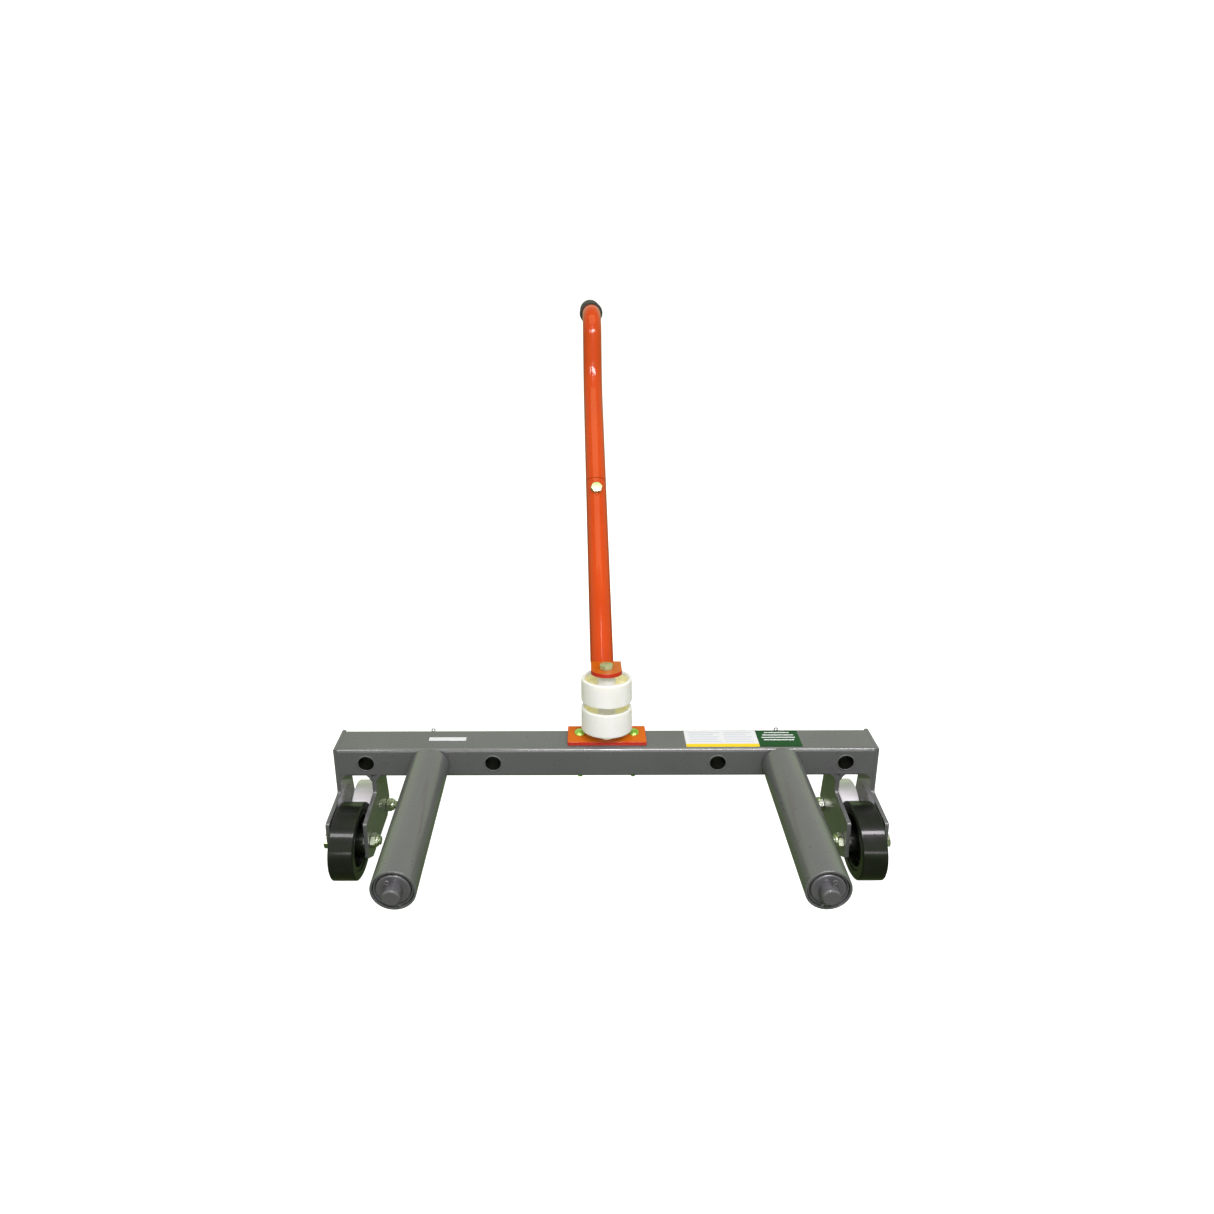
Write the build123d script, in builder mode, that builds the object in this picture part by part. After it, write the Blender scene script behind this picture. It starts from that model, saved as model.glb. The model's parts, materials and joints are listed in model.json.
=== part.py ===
"""Truck wheel dolly: a square crossbeam on four wheels, two fork rollers that lift the tyre,
two guide wheels that steady it, and a long cranked handle."""

import os
from math import cos, radians, sin

from build123d import *

os.makedirs("parts", exist_ok=True)

# Millimetres. +X is to the right, +Y runs from the fork tips to the handle, +Z is up.
# The origin is on the floor, under the middle of the whole dolly.

# Reach of the dolly, measured from the front face of the crossbeam
SHAFT_REACH = 317.0
GRIP_REACH = 905.0
BEAM_FRONT = (SHAFT_REACH - GRIP_REACH) / 2

# Crossbeam
BEAM_SIZE = 63.5
BEAM_WALL = 4.0
BEAM_CORNER = 7.3
BEAM_LENGTH = 1077.0
BEAM_Z = 197.0
BEAM_TOP = BEAM_Z + BEAM_SIZE / 2
BEAM_BOTTOM = BEAM_Z - BEAM_SIZE / 2
BEAM_BACK = BEAM_FRONT + BEAM_SIZE

# Shaft sleeves through the crossbeam, three on each side
SLEEVE_X = (222.5, 347.0, 475.0)
FORK_X = SLEEVE_X[1]
SLEEVE_R = 17.5
SLEEVE_BORE_R = 15.5

# Legs: two plates on each side, with the four wheels between them
PLATE = 8.0
PLATE_CORNER = 5.0
LEG_NECK = 70.0
OUTER_LEG_X = BEAM_LENGTH / 2 - PLATE
INNER_LEG_X = 458.7
LEG_GAP = OUTER_LEG_X - INNER_LEG_X - PLATE
WELD_LEG = 9.0
WELD_HOLLOW = 0.32

# Axles, as distance behind the beam's front face and height above the floor
FRONT_WHEEL_R = 68.5
REAR_WHEEL_R = 49.0
AXLE_Y = (BEAM_FRONT - 60.0, BEAM_FRONT + 58.5)
AXLE_Z = (FRONT_WHEEL_R, REAR_WHEEL_R)
M16_R = 8.0
AXLE_HOLE_R = 8.2
FIT = 0.05
WHEEL_X = INNER_LEG_X + PLATE + LEG_GAP / 2
HUB_LENGTH = 56.0
HUB_PLAY = 0.4
AXLE_SPACER = (LEG_GAP - HUB_LENGTH) / 2 - HUB_PLAY
BEARING_R = 12.0
AXLE_SPACER_R = BEARING_R + 2.0
M16_FLATS = 24.0
M16_HEAD = 10.0
M16_NUT = 15.5
AXLE_END = 4.5

# Sections of the front and rear wheels: the front ones carry a separate tread
WHEEL_WEB = 14.0
WHEEL_DRAFT = 2.0
FRONT_TREAD_WIDTH = 48.0
FRONT_SHOULDER = 6.0
FRONT_RIM_R = 53.0
FRONT_RIM_INNER_R = 46.0
FRONT_RIM_WIDTH = 42.0
FRONT_HUB_R = 20.0
REAR_WIDTH = 45.0
REAR_SHOULDER = 2.5
REAR_RIM_INNER_R = 41.0
REAR_HUB_R = 19.0

# Fork shafts and rollers
FORK_SHAFT_R = 15.0
FORK_SHAFT_CHAMFER = 2.0
FORK_TAIL = 20.0
ROLLER_R = 38.0
ROLLER_WALL = 4.0
ROLLER_BACK = BEAM_FRONT - 4.0
ROLLER_FRONT = BEAM_FRONT - 302.0
ROLLER_RECESS = 5.5
ROLLER_DISC = 8.0
RUNNING_GAP = 0.3
BUSHING_R = 19.0
BUSHING_LENGTH = 20.0
CAP_WASHER_R = 28.5
CAP_WASHER = 4.0
FORK_WASHER_R = 23.0
FORK_WASHER = 3.0
FORK_PIN_R = 2.5
FORK_PIN_LENGTH = 58.0
FORK_PIN_TILT = 17.0
FRONT_PIN_Y = ROLLER_FRONT - 6.0
BACK_PIN_Y = BEAM_BACK + 11.0

# Handle base plate, bolted down through the crossbeam a little right of its middle
BASE_X = 4.0
BASE_WIDTH = 157.0
BASE_DEPTH = 52.0
BASE_CORNER = 2.0
BASE_TOP = BEAM_TOP + PLATE
BASE_BOLT_SPREAD = 54.0
BASE_BOLT_Y = BEAM_FRONT + 42.0
BASE_BOLT_R = 5.0
BASE_BOLT_HEAD_R = 11.0
BASE_BOLT_HEAD = 5.0
BASE_BOLT_CROWN = 4.5
BASE_BOLT_END = BEAM_Z - 62.0
BASE_NUT = 9.0
BASE_NUT_FLATS = 17.0
BASE_WASHER_R = 12.0
BASE_WASHER = 2.0

# Guide wheels on a spindle that leans back
SPINDLE_LEAN = 12.0
SPINDLE_FOOT_Y = BEAM_FRONT + 37.5
SPINDLE_R = 12.5
COLLAR_R = 17.5
GUIDE_R = 50.8
GUIDE_RIM_WALL = 7.0
GUIDE_RIM_WIDTH = 46.0
GUIDE_RIM_ROUND = 2.5
GUIDE_HUB_R = 17.5
GUIDE_HUB_LENGTH = 56.3
GUIDE_WEB = 10.0
LOWER_GUIDE_AT = 7.4
MID_WASHER = 1.4
UPPER_GUIDE_AT = LOWER_GUIDE_AT + GUIDE_HUB_LENGTH + MID_WASHER + 2 * RUNNING_GAP
STRAP_AT = 125.8
STRAP_WIDTH = 62.0
STRAP_FRONT = 31.7
STRAP_BACK = 44.0
STRAP_SHOULDER = 10.0
GUIDE_BOLT_DEPTH = 40.0
STRAP_HOLE_R = M16_R + 0.3

# Handle centreline in its own upright plane, as distance behind the beam's front face and height:
# the foot, the knee and the crook, from which it runs level to the grip. The plane stands a little
# left of the middle and swings slightly to the left.
HANDLE_R = 24.15
HANDLE_WALL = 2.8
HANDLE_X = -3.6
HANDLE_SWING = 1.23
HANDLE_Z = BEAM_Z + 808.0
HANDLE_FOOT = (122.0, BEAM_Z + 144.0)
HANDLE_KNEE = (672.0, BEAM_Z + 632.0)
HANDLE_CROOK = (715.0, HANDLE_Z)
KNEE_RADIUS = 225.0
CROOK_RADIUS = 67.0
JOINT_ALONG = 441.0
JOINT_BOLT_BEFORE = 31.0
JOINT_BOLT_END = 3.0
JOINT_SLEEVE_LENGTH = 130.0
JOINT_SLEEVE_WALL = 3.0

# Grip
GRIP_R = 28.0
GRIP_LENGTH = 115.0
GRIP_FLANGE_R = 31.0
GRIP_FLANGE = 5.0
GRIP_END = 4.0
GRIP_ROUND = 4.0

# Blank labels on top of the crossbeam: name, middle in X, middle in Y, width, depth
LABEL = 0.4
LABELS = (
    ("white_label", -316.5, 33.0, 75.0, 10.5),
    ("notice_label", 233.5, 32.0, 145.0, 50.0),
    ("green_label", 348.5, 32.0, 84.0, 50.0),
)

SIDES = (("left", -1), ("right", 1))


def save(part, label):
    """Label one finished piece and write its file."""
    part.label = label
    export_step(part, f"parts/{label}.step")


def facing_x(x, y, z):
    """Plane at a point, with its normal along +X."""
    return Plane(origin=(x, y, z), x_dir=(0, 1, 0), z_dir=(1, 0, 0))


def facing_y(x, y, z):
    """Plane at a point, with its normal along +Y."""
    return Plane(origin=(x, y, z), x_dir=(0, 0, 1), z_dir=(0, 1, 0))


def facing_z(x, y, z):
    """Plane at a point, with its normal along +Z."""
    return Plane(origin=(x, y, z), x_dir=(1, 0, 0), z_dir=(0, 0, 1))


def on_spindle(distance):
    """Plane square to the leaning spindle, at a distance up it from the base plate."""
    lean = radians(SPINDLE_LEAN)
    direction = Vector(0, sin(lean), cos(lean))
    foot = Vector(BASE_X, SPINDLE_FOOT_Y, BASE_TOP)
    return Plane(origin=foot + direction * distance, x_dir=(1, 0, 0), z_dir=direction)


def handle_plane():
    """Upright plane of the handle's centreline: its origin is the foot, X runs level to the rear."""
    swing = radians(HANDLE_SWING)
    foot_y, foot_z = HANDLE_FOOT
    return Plane(
        origin=(HANDLE_X, BEAM_FRONT + foot_y, foot_z),
        x_dir=(-sin(swing), cos(swing), 0),
        z_dir=(cos(swing), sin(swing), 0),
    )


def from_foot(point):
    """A point of the handle's centreline, measured from its foot."""
    return (point[0] - HANDLE_FOOT[0], point[1] - HANDLE_FOOT[1])


def handle_direction():
    """Direction of the long straight stretch of the handle."""
    level, rise = from_foot(HANDLE_KNEE)
    upright = handle_plane()
    return (upright.x_dir * level + upright.y_dir * rise).normalized()


def on_handle(distance):
    """Plane square to the handle, at a distance up it from its foot."""
    upright = handle_plane()
    direction = handle_direction()
    return Plane(origin=upright.origin + direction * distance, x_dir=upright.z_dir, z_dir=direction)


def across_handle(distance):
    """Plane on the handle's centreline, with its normal towards the front of the tube."""
    upright = handle_plane()
    direction = handle_direction()
    return Plane(
        origin=upright.origin + direction * distance,
        x_dir=upright.z_dir,
        z_dir=upright.z_dir.cross(direction),
    )


def ring(plane, length, outer_r, inner_r=0.0, mode=Mode.ADD):
    """Round bar or tube that starts on a plane and runs along its normal."""
    with BuildSketch(plane) as section:
        Circle(outer_r)
        if inner_r:
            Circle(inner_r, mode=Mode.SUBTRACT)
    extrude(section.sketch, amount=length, mode=mode)


def hexagon(plane, length, across_flats, hole_r=0.0):
    """Hexagonal bolt head or nut that starts on a plane and runs along its normal."""
    with BuildSketch(plane) as section:
        RegularPolygon(across_flats / 2, 6, major_radius=False)
        if hole_r:
            Circle(hole_r, mode=Mode.SUBTRACT)
    extrude(section.sketch, amount=length)


def fork_pin_plane(side, y):
    """Plane on a fork shaft's axis, with its normal along the tilted cross pin."""
    tilt = radians(FORK_PIN_TILT)
    return Plane(
        origin=(side * FORK_X, y, BEAM_Z),
        x_dir=(0, 1, 0),
        z_dir=(side * sin(tilt), 0, cos(tilt)),
    )


def make_crossbeam():
    """Square tube, drilled for the six sleeves and the two base plate bolts."""
    with BuildPart() as crossbeam:
        with BuildSketch(facing_x(-OUTER_LEG_X, BEAM_FRONT + BEAM_SIZE / 2, BEAM_Z)):
            RectangleRounded(BEAM_SIZE, BEAM_SIZE, BEAM_CORNER)
            inner = BEAM_SIZE - 2 * BEAM_WALL
            RectangleRounded(inner, inner, BEAM_CORNER - BEAM_WALL, mode=Mode.SUBTRACT)
        extrude(amount=2 * OUTER_LEG_X)
        for x in SLEEVE_X:
            for _, side in SIDES:
                ring(facing_y(side * x, BEAM_FRONT, BEAM_Z), BEAM_SIZE, SLEEVE_R, mode=Mode.SUBTRACT)
        for _, side in SIDES:
            start = facing_z(BASE_X + side * BASE_BOLT_SPREAD, BASE_BOLT_Y, BEAM_BOTTOM)
            ring(start, BEAM_SIZE, BASE_BOLT_R, mode=Mode.SUBTRACT)
    return crossbeam.part


def make_sleeves(side):
    """Three plain bushes welded through the crossbeam to take a fork shaft."""
    with BuildPart() as sleeves:
        for x in SLEEVE_X:
            ring(facing_y(side * x, BEAM_FRONT, BEAM_Z), BEAM_SIZE, SLEEVE_R, SLEEVE_BORE_R)
    return sleeves.part


def leg_outline():
    """Foot of a leg plate below the crossbeam, from its front top to its back top, as (Y, Z)."""
    return (
        (BEAM_FRONT, BEAM_Z - 68.0),
        (BEAM_FRONT - 77.0, BEAM_Z - 76.0),
        (BEAM_FRONT - 80.0, BEAM_Z - 152.0),
        (BEAM_FRONT - 55.0, BEAM_Z - 171.0),
        (BEAM_FRONT + 56.0, BEAM_Z - 172.0),
        (BEAM_FRONT + 79.0, BEAM_Z - 142.0),
        (BEAM_FRONT + 70.0, BEAM_Z - 80.0),
    )


def make_leg(side, near_x, top):
    """Leg plate cut from flat bar, drilled for both axle bolts."""
    low_x = min(side * near_x, side * (near_x + PLATE))
    back = [(BEAM_BACK, z) for z in sorted({BEAM_BOTTOM, top})]
    with BuildPart() as leg:
        with BuildSketch(Plane.YZ.offset(low_x)):
            with BuildLine():
                Polyline((BEAM_FRONT, top), *leg_outline(), *back, close=True)
            make_face()
        extrude(amount=PLATE)
        upright = leg.edges().filter_by(Axis.X)
        foot = upright.filter_by(lambda edge: edge.center().Z < BEAM_Z - LEG_NECK)
        fillet(foot, PLATE_CORNER)
        for y, z in zip(AXLE_Y, AXLE_Z):
            ring(facing_x(low_x, y, z), PLATE, AXLE_HOLE_R, mode=Mode.SUBTRACT)
    return leg.part


def make_leg_welds():
    """Concave weld beads where the leg plates meet the underside of the crossbeam."""
    beads = ((INNER_LEG_X, -1), (INNER_LEG_X + PLATE, 1), (OUTER_LEG_X, -1))
    with BuildPart() as welds:
        for _, side in SIDES:
            for face_x, away in beads:
                corner = Vector(side * face_x, BEAM_BOTTOM)
                across = corner + Vector(side * away * WELD_LEG, 0)
                down = corner + Vector(0, -WELD_LEG)
                middle = corner + Vector(side * away, -1) * WELD_LEG * WELD_HOLLOW
                with BuildSketch(Plane.XZ.offset(-(BEAM_BACK - BEAM_CORNER))) as section:
                    with BuildLine():
                        Line(corner, across)
                        ThreePointArc(across, middle, down)
                        Line(down, corner)
                    make_face()
                extrude(section.sketch, amount=BEAM_SIZE - 2 * BEAM_CORNER)
    return welds.part


def make_axle_bolts(side):
    """Hex bolts of the front and rear axles, heads outside, ends through the inner leg."""
    head_x = OUTER_LEG_X + PLATE
    end_x = INNER_LEG_X - M16_NUT - AXLE_END
    with BuildPart() as bolts:
        for y, z in zip(AXLE_Y, AXLE_Z):
            head = facing_x(min(side * head_x, side * (head_x + M16_HEAD)), y, z)
            hexagon(head, M16_HEAD, M16_FLATS)
            ring(facing_x(min(side * end_x, side * head_x), y, z), head_x - end_x, M16_R)
    return bolts.part


def make_axle_nuts(side):
    """Locking nuts against the inner faces of the inner leg."""
    near = INNER_LEG_X - M16_NUT
    with BuildPart() as nuts:
        for y, z in zip(AXLE_Y, AXLE_Z):
            start = facing_x(min(side * near, side * INNER_LEG_X), y, z)
            hexagon(start, M16_NUT, M16_FLATS, M16_R)
    return nuts.part


def make_axle_spacers(side):
    """Washers on the axle bolts that keep the wheels clear of the leg plates."""
    inner_start = INNER_LEG_X + PLATE
    outer_start = OUTER_LEG_X - AXLE_SPACER
    with BuildPart() as spacers:
        for y, z in zip(AXLE_Y, AXLE_Z):
            for start in (inner_start, outer_start):
                low_x = min(side * start, side * (start + AXLE_SPACER))
                ring(facing_x(low_x, y, z), AXLE_SPACER, AXLE_SPACER_R, M16_R)
    return spacers.part


def wheel_profile(x, y, z, half_profile, shoulder=0.0):
    """Revolve a closed outline of (across, radius) points about a wheel's axle."""
    with BuildSketch(Plane.XZ.offset(-y)) as section:
        with BuildLine():
            Polyline(*[(x + across, z + radius) for across, radius in half_profile], close=True)
        make_face()
        if shoulder:
            rim = section.vertices().group_by(Axis.Y)[-1]
            fillet(rim, shoulder)
    revolve(section.sketch, axis=Axis((x, y, z), (1, 0, 0)))


def make_bearing(side, y, z):
    """Bearing sleeve pressed into a hub, running on the axle bolt."""
    with BuildPart() as bearing:
        start = facing_x(side * WHEEL_X - HUB_LENGTH / 2, y, z)
        ring(start, HUB_LENGTH, BEARING_R, M16_R + FIT)
    return bearing.part


def make_front_tyre(side):
    """Solid tread with rounded shoulders."""
    half = FRONT_TREAD_WIDTH / 2
    outline = (
        (-half, FRONT_RIM_R),
        (half, FRONT_RIM_R),
        (half, FRONT_WHEEL_R),
        (-half, FRONT_WHEEL_R),
    )
    with BuildPart() as tyre:
        wheel_profile(side * WHEEL_X, AXLE_Y[0], AXLE_Z[0], outline, FRONT_SHOULDER)
    return tyre.part


def hub_and_rim(hub_r, rim_inner_r, rim_outer_r, rim_width):
    """Outline of a wheel centre: hub, thin web and rim, as (across, radius) points."""
    right = (
        (HUB_LENGTH / 2, BEARING_R),
        (HUB_LENGTH / 2, hub_r),
        (WHEEL_WEB / 2, hub_r + WHEEL_DRAFT),
        (WHEEL_WEB / 2, rim_inner_r - WHEEL_DRAFT),
        (rim_width / 2, rim_inner_r),
        (rim_width / 2, rim_outer_r),
    )
    left = tuple((-across, radius) for across, radius in reversed(right))
    return right + left


def make_front_centre(side):
    """Moulded wheel centre that carries the tread."""
    outline = hub_and_rim(FRONT_HUB_R, FRONT_RIM_INNER_R, FRONT_RIM_R, FRONT_RIM_WIDTH)
    with BuildPart() as centre:
        wheel_profile(side * WHEEL_X, AXLE_Y[0], AXLE_Z[0], outline)
    return centre.part


def make_rear_wheel(side):
    """One-piece nylon wheel."""
    outline = hub_and_rim(REAR_HUB_R, REAR_RIM_INNER_R, REAR_WHEEL_R, REAR_WIDTH)
    with BuildPart() as wheel:
        wheel_profile(side * WHEEL_X, AXLE_Y[1], AXLE_Z[1], outline, REAR_SHOULDER)
    return wheel.part


def make_fork_shaft(side):
    """Solid shaft that passes through a sleeve, cross-drilled at both ends for its pins."""
    front = BEAM_FRONT - SHAFT_REACH
    length = SHAFT_REACH + BEAM_SIZE + FORK_TAIL
    with BuildPart() as shaft:
        ring(facing_y(side * FORK_X, front, BEAM_Z), length, FORK_SHAFT_R)
        chamfer(shaft.edges().filter_by(GeomType.CIRCLE), FORK_SHAFT_CHAMFER)
        for y in (FRONT_PIN_Y, BACK_PIN_Y):
            below = fork_pin_plane(side, y).offset(-2 * FORK_SHAFT_R)
            ring(below, 4 * FORK_SHAFT_R, FORK_PIN_R, mode=Mode.SUBTRACT)
    return shaft.part


def make_roller_tube(side):
    """Outer tube of a fork roller."""
    with BuildPart() as roller:
        start = facing_y(side * FORK_X, ROLLER_FRONT, BEAM_Z)
        ring(start, ROLLER_BACK - ROLLER_FRONT, ROLLER_R, ROLLER_R - ROLLER_WALL)
    return roller.part


def make_roller_discs(side):
    """Discs set a little inside both ends of the roller tube."""
    starts = (ROLLER_FRONT + ROLLER_RECESS, ROLLER_BACK - ROLLER_RECESS - ROLLER_DISC)
    with BuildPart() as discs:
        for y in starts:
            ring(facing_y(side * FORK_X, y, BEAM_Z), ROLLER_DISC, ROLLER_R - ROLLER_WALL, BUSHING_R)
    return discs.part


def make_roller_bushings(side):
    """Plain bushings in the discs, running on the fork shaft."""
    starts = (ROLLER_FRONT + ROLLER_RECESS, ROLLER_BACK - ROLLER_RECESS - BUSHING_LENGTH)
    with BuildPart() as bushings:
        for y in starts:
            ring(facing_y(side * FORK_X, y, BEAM_Z), BUSHING_LENGTH, BUSHING_R, FORK_SHAFT_R + FIT)
    return bushings.part


def make_fork_washers(side):
    """Wide washer in the roller's mouth, and plain ones before and behind the crossbeam."""
    front = ROLLER_FRONT + ROLLER_RECESS - RUNNING_GAP - CAP_WASHER
    with BuildPart() as washers:
        ring(facing_y(side * FORK_X, front, BEAM_Z), CAP_WASHER, CAP_WASHER_R, FORK_SHAFT_R)
        for y in (BEAM_FRONT - FORK_WASHER, BEAM_BACK):
            ring(facing_y(side * FORK_X, y, BEAM_Z), FORK_WASHER, FORK_WASHER_R, FORK_SHAFT_R)
    return washers.part


def make_fork_pins(side):
    """Cross pins that hold the roller on the shaft and the shaft in its sleeve."""
    with BuildPart() as pins:
        for y in (FRONT_PIN_Y, BACK_PIN_Y):
            start = fork_pin_plane(side, y).offset(-FORK_PIN_LENGTH / 2)
            ring(start, FORK_PIN_LENGTH, FORK_PIN_R)
    return pins.part


def make_base_plate():
    """Flat plate under the guide wheels, on top of the crossbeam."""
    middle_y = BEAM_BACK - BASE_DEPTH / 2
    with BuildPart() as base_plate:
        with BuildSketch(facing_z(BASE_X, middle_y, BEAM_TOP)):
            RectangleRounded(BASE_WIDTH, BASE_DEPTH, BASE_CORNER)
        extrude(amount=PLATE)
        for _, side in SIDES:
            start = facing_z(BASE_X + side * BASE_BOLT_SPREAD, BASE_BOLT_Y, BEAM_TOP)
            ring(start, PLATE, BASE_BOLT_R, mode=Mode.SUBTRACT)
    return base_plate.part


def make_base_bolts():
    """Domed carriage bolts down through the base plate and the crossbeam."""
    with BuildPart() as bolts:
        for _, side in SIDES:
            x = BASE_X + side * BASE_BOLT_SPREAD
            ring(facing_z(x, BASE_BOLT_Y, BASE_BOLT_END), BASE_TOP - BASE_BOLT_END, BASE_BOLT_R)
            ring(facing_z(x, BASE_BOLT_Y, BASE_TOP), BASE_BOLT_HEAD, BASE_BOLT_HEAD_R)
        crowns = bolts.faces().group_by(Axis.Z)[-1].edges()
        fillet(crowns, BASE_BOLT_CROWN)
    return bolts.part


def make_base_washers():
    """Washers under the crossbeam, above the nuts."""
    with BuildPart() as washers:
        for _, side in SIDES:
            start = facing_z(BASE_X + side * BASE_BOLT_SPREAD, BASE_BOLT_Y, BEAM_BOTTOM - BASE_WASHER)
            ring(start, BASE_WASHER, BASE_WASHER_R, BASE_BOLT_R)
    return washers.part


def make_base_nuts():
    """Nuts of the carriage bolts, under the crossbeam."""
    with BuildPart() as nuts:
        for _, side in SIDES:
            x = BASE_X + side * BASE_BOLT_SPREAD
            start = facing_z(x, BASE_BOLT_Y, BEAM_BOTTOM - BASE_WASHER - BASE_NUT)
            hexagon(start, BASE_NUT, BASE_NUT_FLATS, BASE_BOLT_R)
    return nuts.part


def trim_below_base():
    """Cut away whatever of the piece in hand lies below the base plate's top."""
    with BuildSketch(Plane.XY.offset(BASE_TOP)) as cut:
        with Locations((BASE_X, SPINDLE_FOOT_Y)):
            Rectangle(4 * COLLAR_R, 4 * COLLAR_R)
    extrude(cut.sketch, amount=-2 * COLLAR_R, mode=Mode.SUBTRACT)


def make_guide_spindle():
    """Leaning post welded to the base plate, tapped at its top for the strap's bolt."""
    with BuildPart() as spindle:
        ring(on_spindle(-PLATE), STRAP_AT + PLATE, SPINDLE_R)
        trim_below_base()
        ring(on_spindle(STRAP_AT - GUIDE_BOLT_DEPTH), GUIDE_BOLT_DEPTH, M16_R, mode=Mode.SUBTRACT)
    return spindle.part


def make_guide_spacers():
    """Wedge collar, middle washer and top spacer that part the guide wheels."""
    top = UPPER_GUIDE_AT + GUIDE_HUB_LENGTH + RUNNING_GAP
    with BuildPart() as spacers:
        ring(on_spindle(-PLATE), LOWER_GUIDE_AT - RUNNING_GAP + PLATE, COLLAR_R, SPINDLE_R)
        trim_below_base()
        ring(on_spindle(UPPER_GUIDE_AT - RUNNING_GAP - MID_WASHER), MID_WASHER, COLLAR_R, SPINDLE_R)
        ring(on_spindle(top), STRAP_AT - top, COLLAR_R, SPINDLE_R)
    return spacers.part


def make_guide_wheel(distance):
    """Nylon guide wheel, turning freely on the spindle."""
    rim_at = distance + (GUIDE_HUB_LENGTH - GUIDE_RIM_WIDTH) / 2
    web_at = distance + (GUIDE_HUB_LENGTH - GUIDE_WEB) / 2
    with BuildPart() as wheel:
        ring(on_spindle(rim_at), GUIDE_RIM_WIDTH, GUIDE_R, GUIDE_R - GUIDE_RIM_WALL)
        fillet(wheel.edges().filter_by(GeomType.CIRCLE), GUIDE_RIM_ROUND)
        ring(on_spindle(web_at), GUIDE_WEB, GUIDE_R - GUIDE_RIM_WALL / 2)
        ring(on_spindle(distance), GUIDE_HUB_LENGTH, GUIDE_HUB_R)
        ring(on_spindle(distance), GUIDE_HUB_LENGTH, SPINDLE_R + FIT, mode=Mode.SUBTRACT)
    return wheel.part


def make_handle_strap():
    """Flat strap with a round front end, from the spindle's top to the handle tube."""
    half = STRAP_WIDTH / 2
    with BuildPart() as strap:
        with BuildSketch(on_spindle(STRAP_AT)) as outline:
            with BuildLine():
                left_shoulder = (-half, -STRAP_SHOULDER)
                right_shoulder = (half, -STRAP_SHOULDER)
                Polyline(left_shoulder, (-half, STRAP_BACK), (half, STRAP_BACK), right_shoulder)
                ThreePointArc(right_shoulder, (0, -STRAP_FRONT), left_shoulder)
            make_face()
        extrude(outline.sketch, amount=PLATE)
        ring(on_spindle(STRAP_AT), PLATE, STRAP_HOLE_R, mode=Mode.SUBTRACT)
        ring(on_handle(-2 * HANDLE_R), 4 * HANDLE_R, HANDLE_R, mode=Mode.SUBTRACT)
    return strap.part


def make_guide_bolt():
    """Hex bolt that holds the strap down on the spindle."""
    with BuildPart() as bolt:
        ring(on_spindle(STRAP_AT - GUIDE_BOLT_DEPTH), GUIDE_BOLT_DEPTH + PLATE, M16_R)
        hexagon(on_spindle(STRAP_AT + PLATE), M16_HEAD, M16_FLATS)
    return bolt.part


def make_lower_handle():
    """Straight lower tube, mitred flush with the underside of the strap at its foot."""
    with BuildPart() as lower:
        ring(on_handle(-2 * HANDLE_R), JOINT_ALONG + 2 * HANDLE_R, HANDLE_R, HANDLE_R - HANDLE_WALL)
        with BuildSketch(on_spindle(STRAP_AT)) as mitre:
            with Locations((0, 2 * HANDLE_R)):
                Rectangle(4 * HANDLE_R, 8 * HANDLE_R)
        extrude(mitre.sketch, amount=-4 * HANDLE_R, mode=Mode.SUBTRACT)
        bolt_at = across_handle(JOINT_ALONG - JOINT_BOLT_BEFORE).offset(-2 * HANDLE_R)
        ring(bolt_at, 4 * HANDLE_R, M16_R, mode=Mode.SUBTRACT)
    return lower.part


def grip_end():
    """Distance of the grip's rear end behind the handle's foot, level."""
    swing = radians(HANDLE_SWING)
    reach = GRIP_REACH - HANDLE_FOOT[0] - (GRIP_R - GRIP_ROUND) * sin(swing)
    return reach / cos(swing)


def make_upper_handle():
    """Upper tube of the handle, bent at the knee and again at the crook to run level."""
    knee = from_foot(HANDLE_KNEE)
    crook = from_foot(HANDLE_CROOK)
    joint = handle_plane().to_local_coords(on_handle(JOINT_ALONG).origin)
    with BuildPart() as upper:
        with BuildLine(handle_plane()) as centreline:
            FilletPolyline(
                (joint.X, joint.Y),
                knee,
                crook,
                (grip_end() - GRIP_END, crook[1]),
                radius=(KNEE_RADIUS, CROOK_RADIUS),
            )
        with BuildSketch(on_handle(JOINT_ALONG)) as section:
            Circle(HANDLE_R)
            Circle(HANDLE_R - HANDLE_WALL, mode=Mode.SUBTRACT)
        sweep(section.sketch, path=centreline.line)
    return upper.part


def make_joint_sleeve():
    """Inner sleeve that joins the two handle tubes."""
    outer_r = HANDLE_R - HANDLE_WALL
    with BuildPart() as sleeve:
        start = on_handle(JOINT_ALONG - JOINT_SLEEVE_LENGTH / 2)
        ring(start, JOINT_SLEEVE_LENGTH, outer_r, outer_r - JOINT_SLEEVE_WALL)
        bolt_at = across_handle(JOINT_ALONG - JOINT_BOLT_BEFORE).offset(-2 * HANDLE_R)
        ring(bolt_at, 4 * HANDLE_R, M16_R, mode=Mode.SUBTRACT)
    return sleeve.part


def make_joint_bolt():
    """Hex bolt through the handle joint, its head at the front of the tube."""
    middle = across_handle(JOINT_ALONG - JOINT_BOLT_BEFORE)
    with BuildPart() as bolt:
        shank = 2 * HANDLE_R + M16_NUT + JOINT_BOLT_END
        ring(middle.offset(HANDLE_R - shank), shank, M16_R)
        hexagon(middle.offset(HANDLE_R), M16_HEAD, M16_FLATS)
    return bolt.part


def make_joint_nut():
    """Nut of the handle joint's bolt, behind the tube."""
    middle = across_handle(JOINT_ALONG - JOINT_BOLT_BEFORE)
    with BuildPart() as nut:
        hexagon(middle.offset(-HANDLE_R - M16_NUT), M16_NUT, M16_FLATS, M16_R)
    return nut.part


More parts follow.
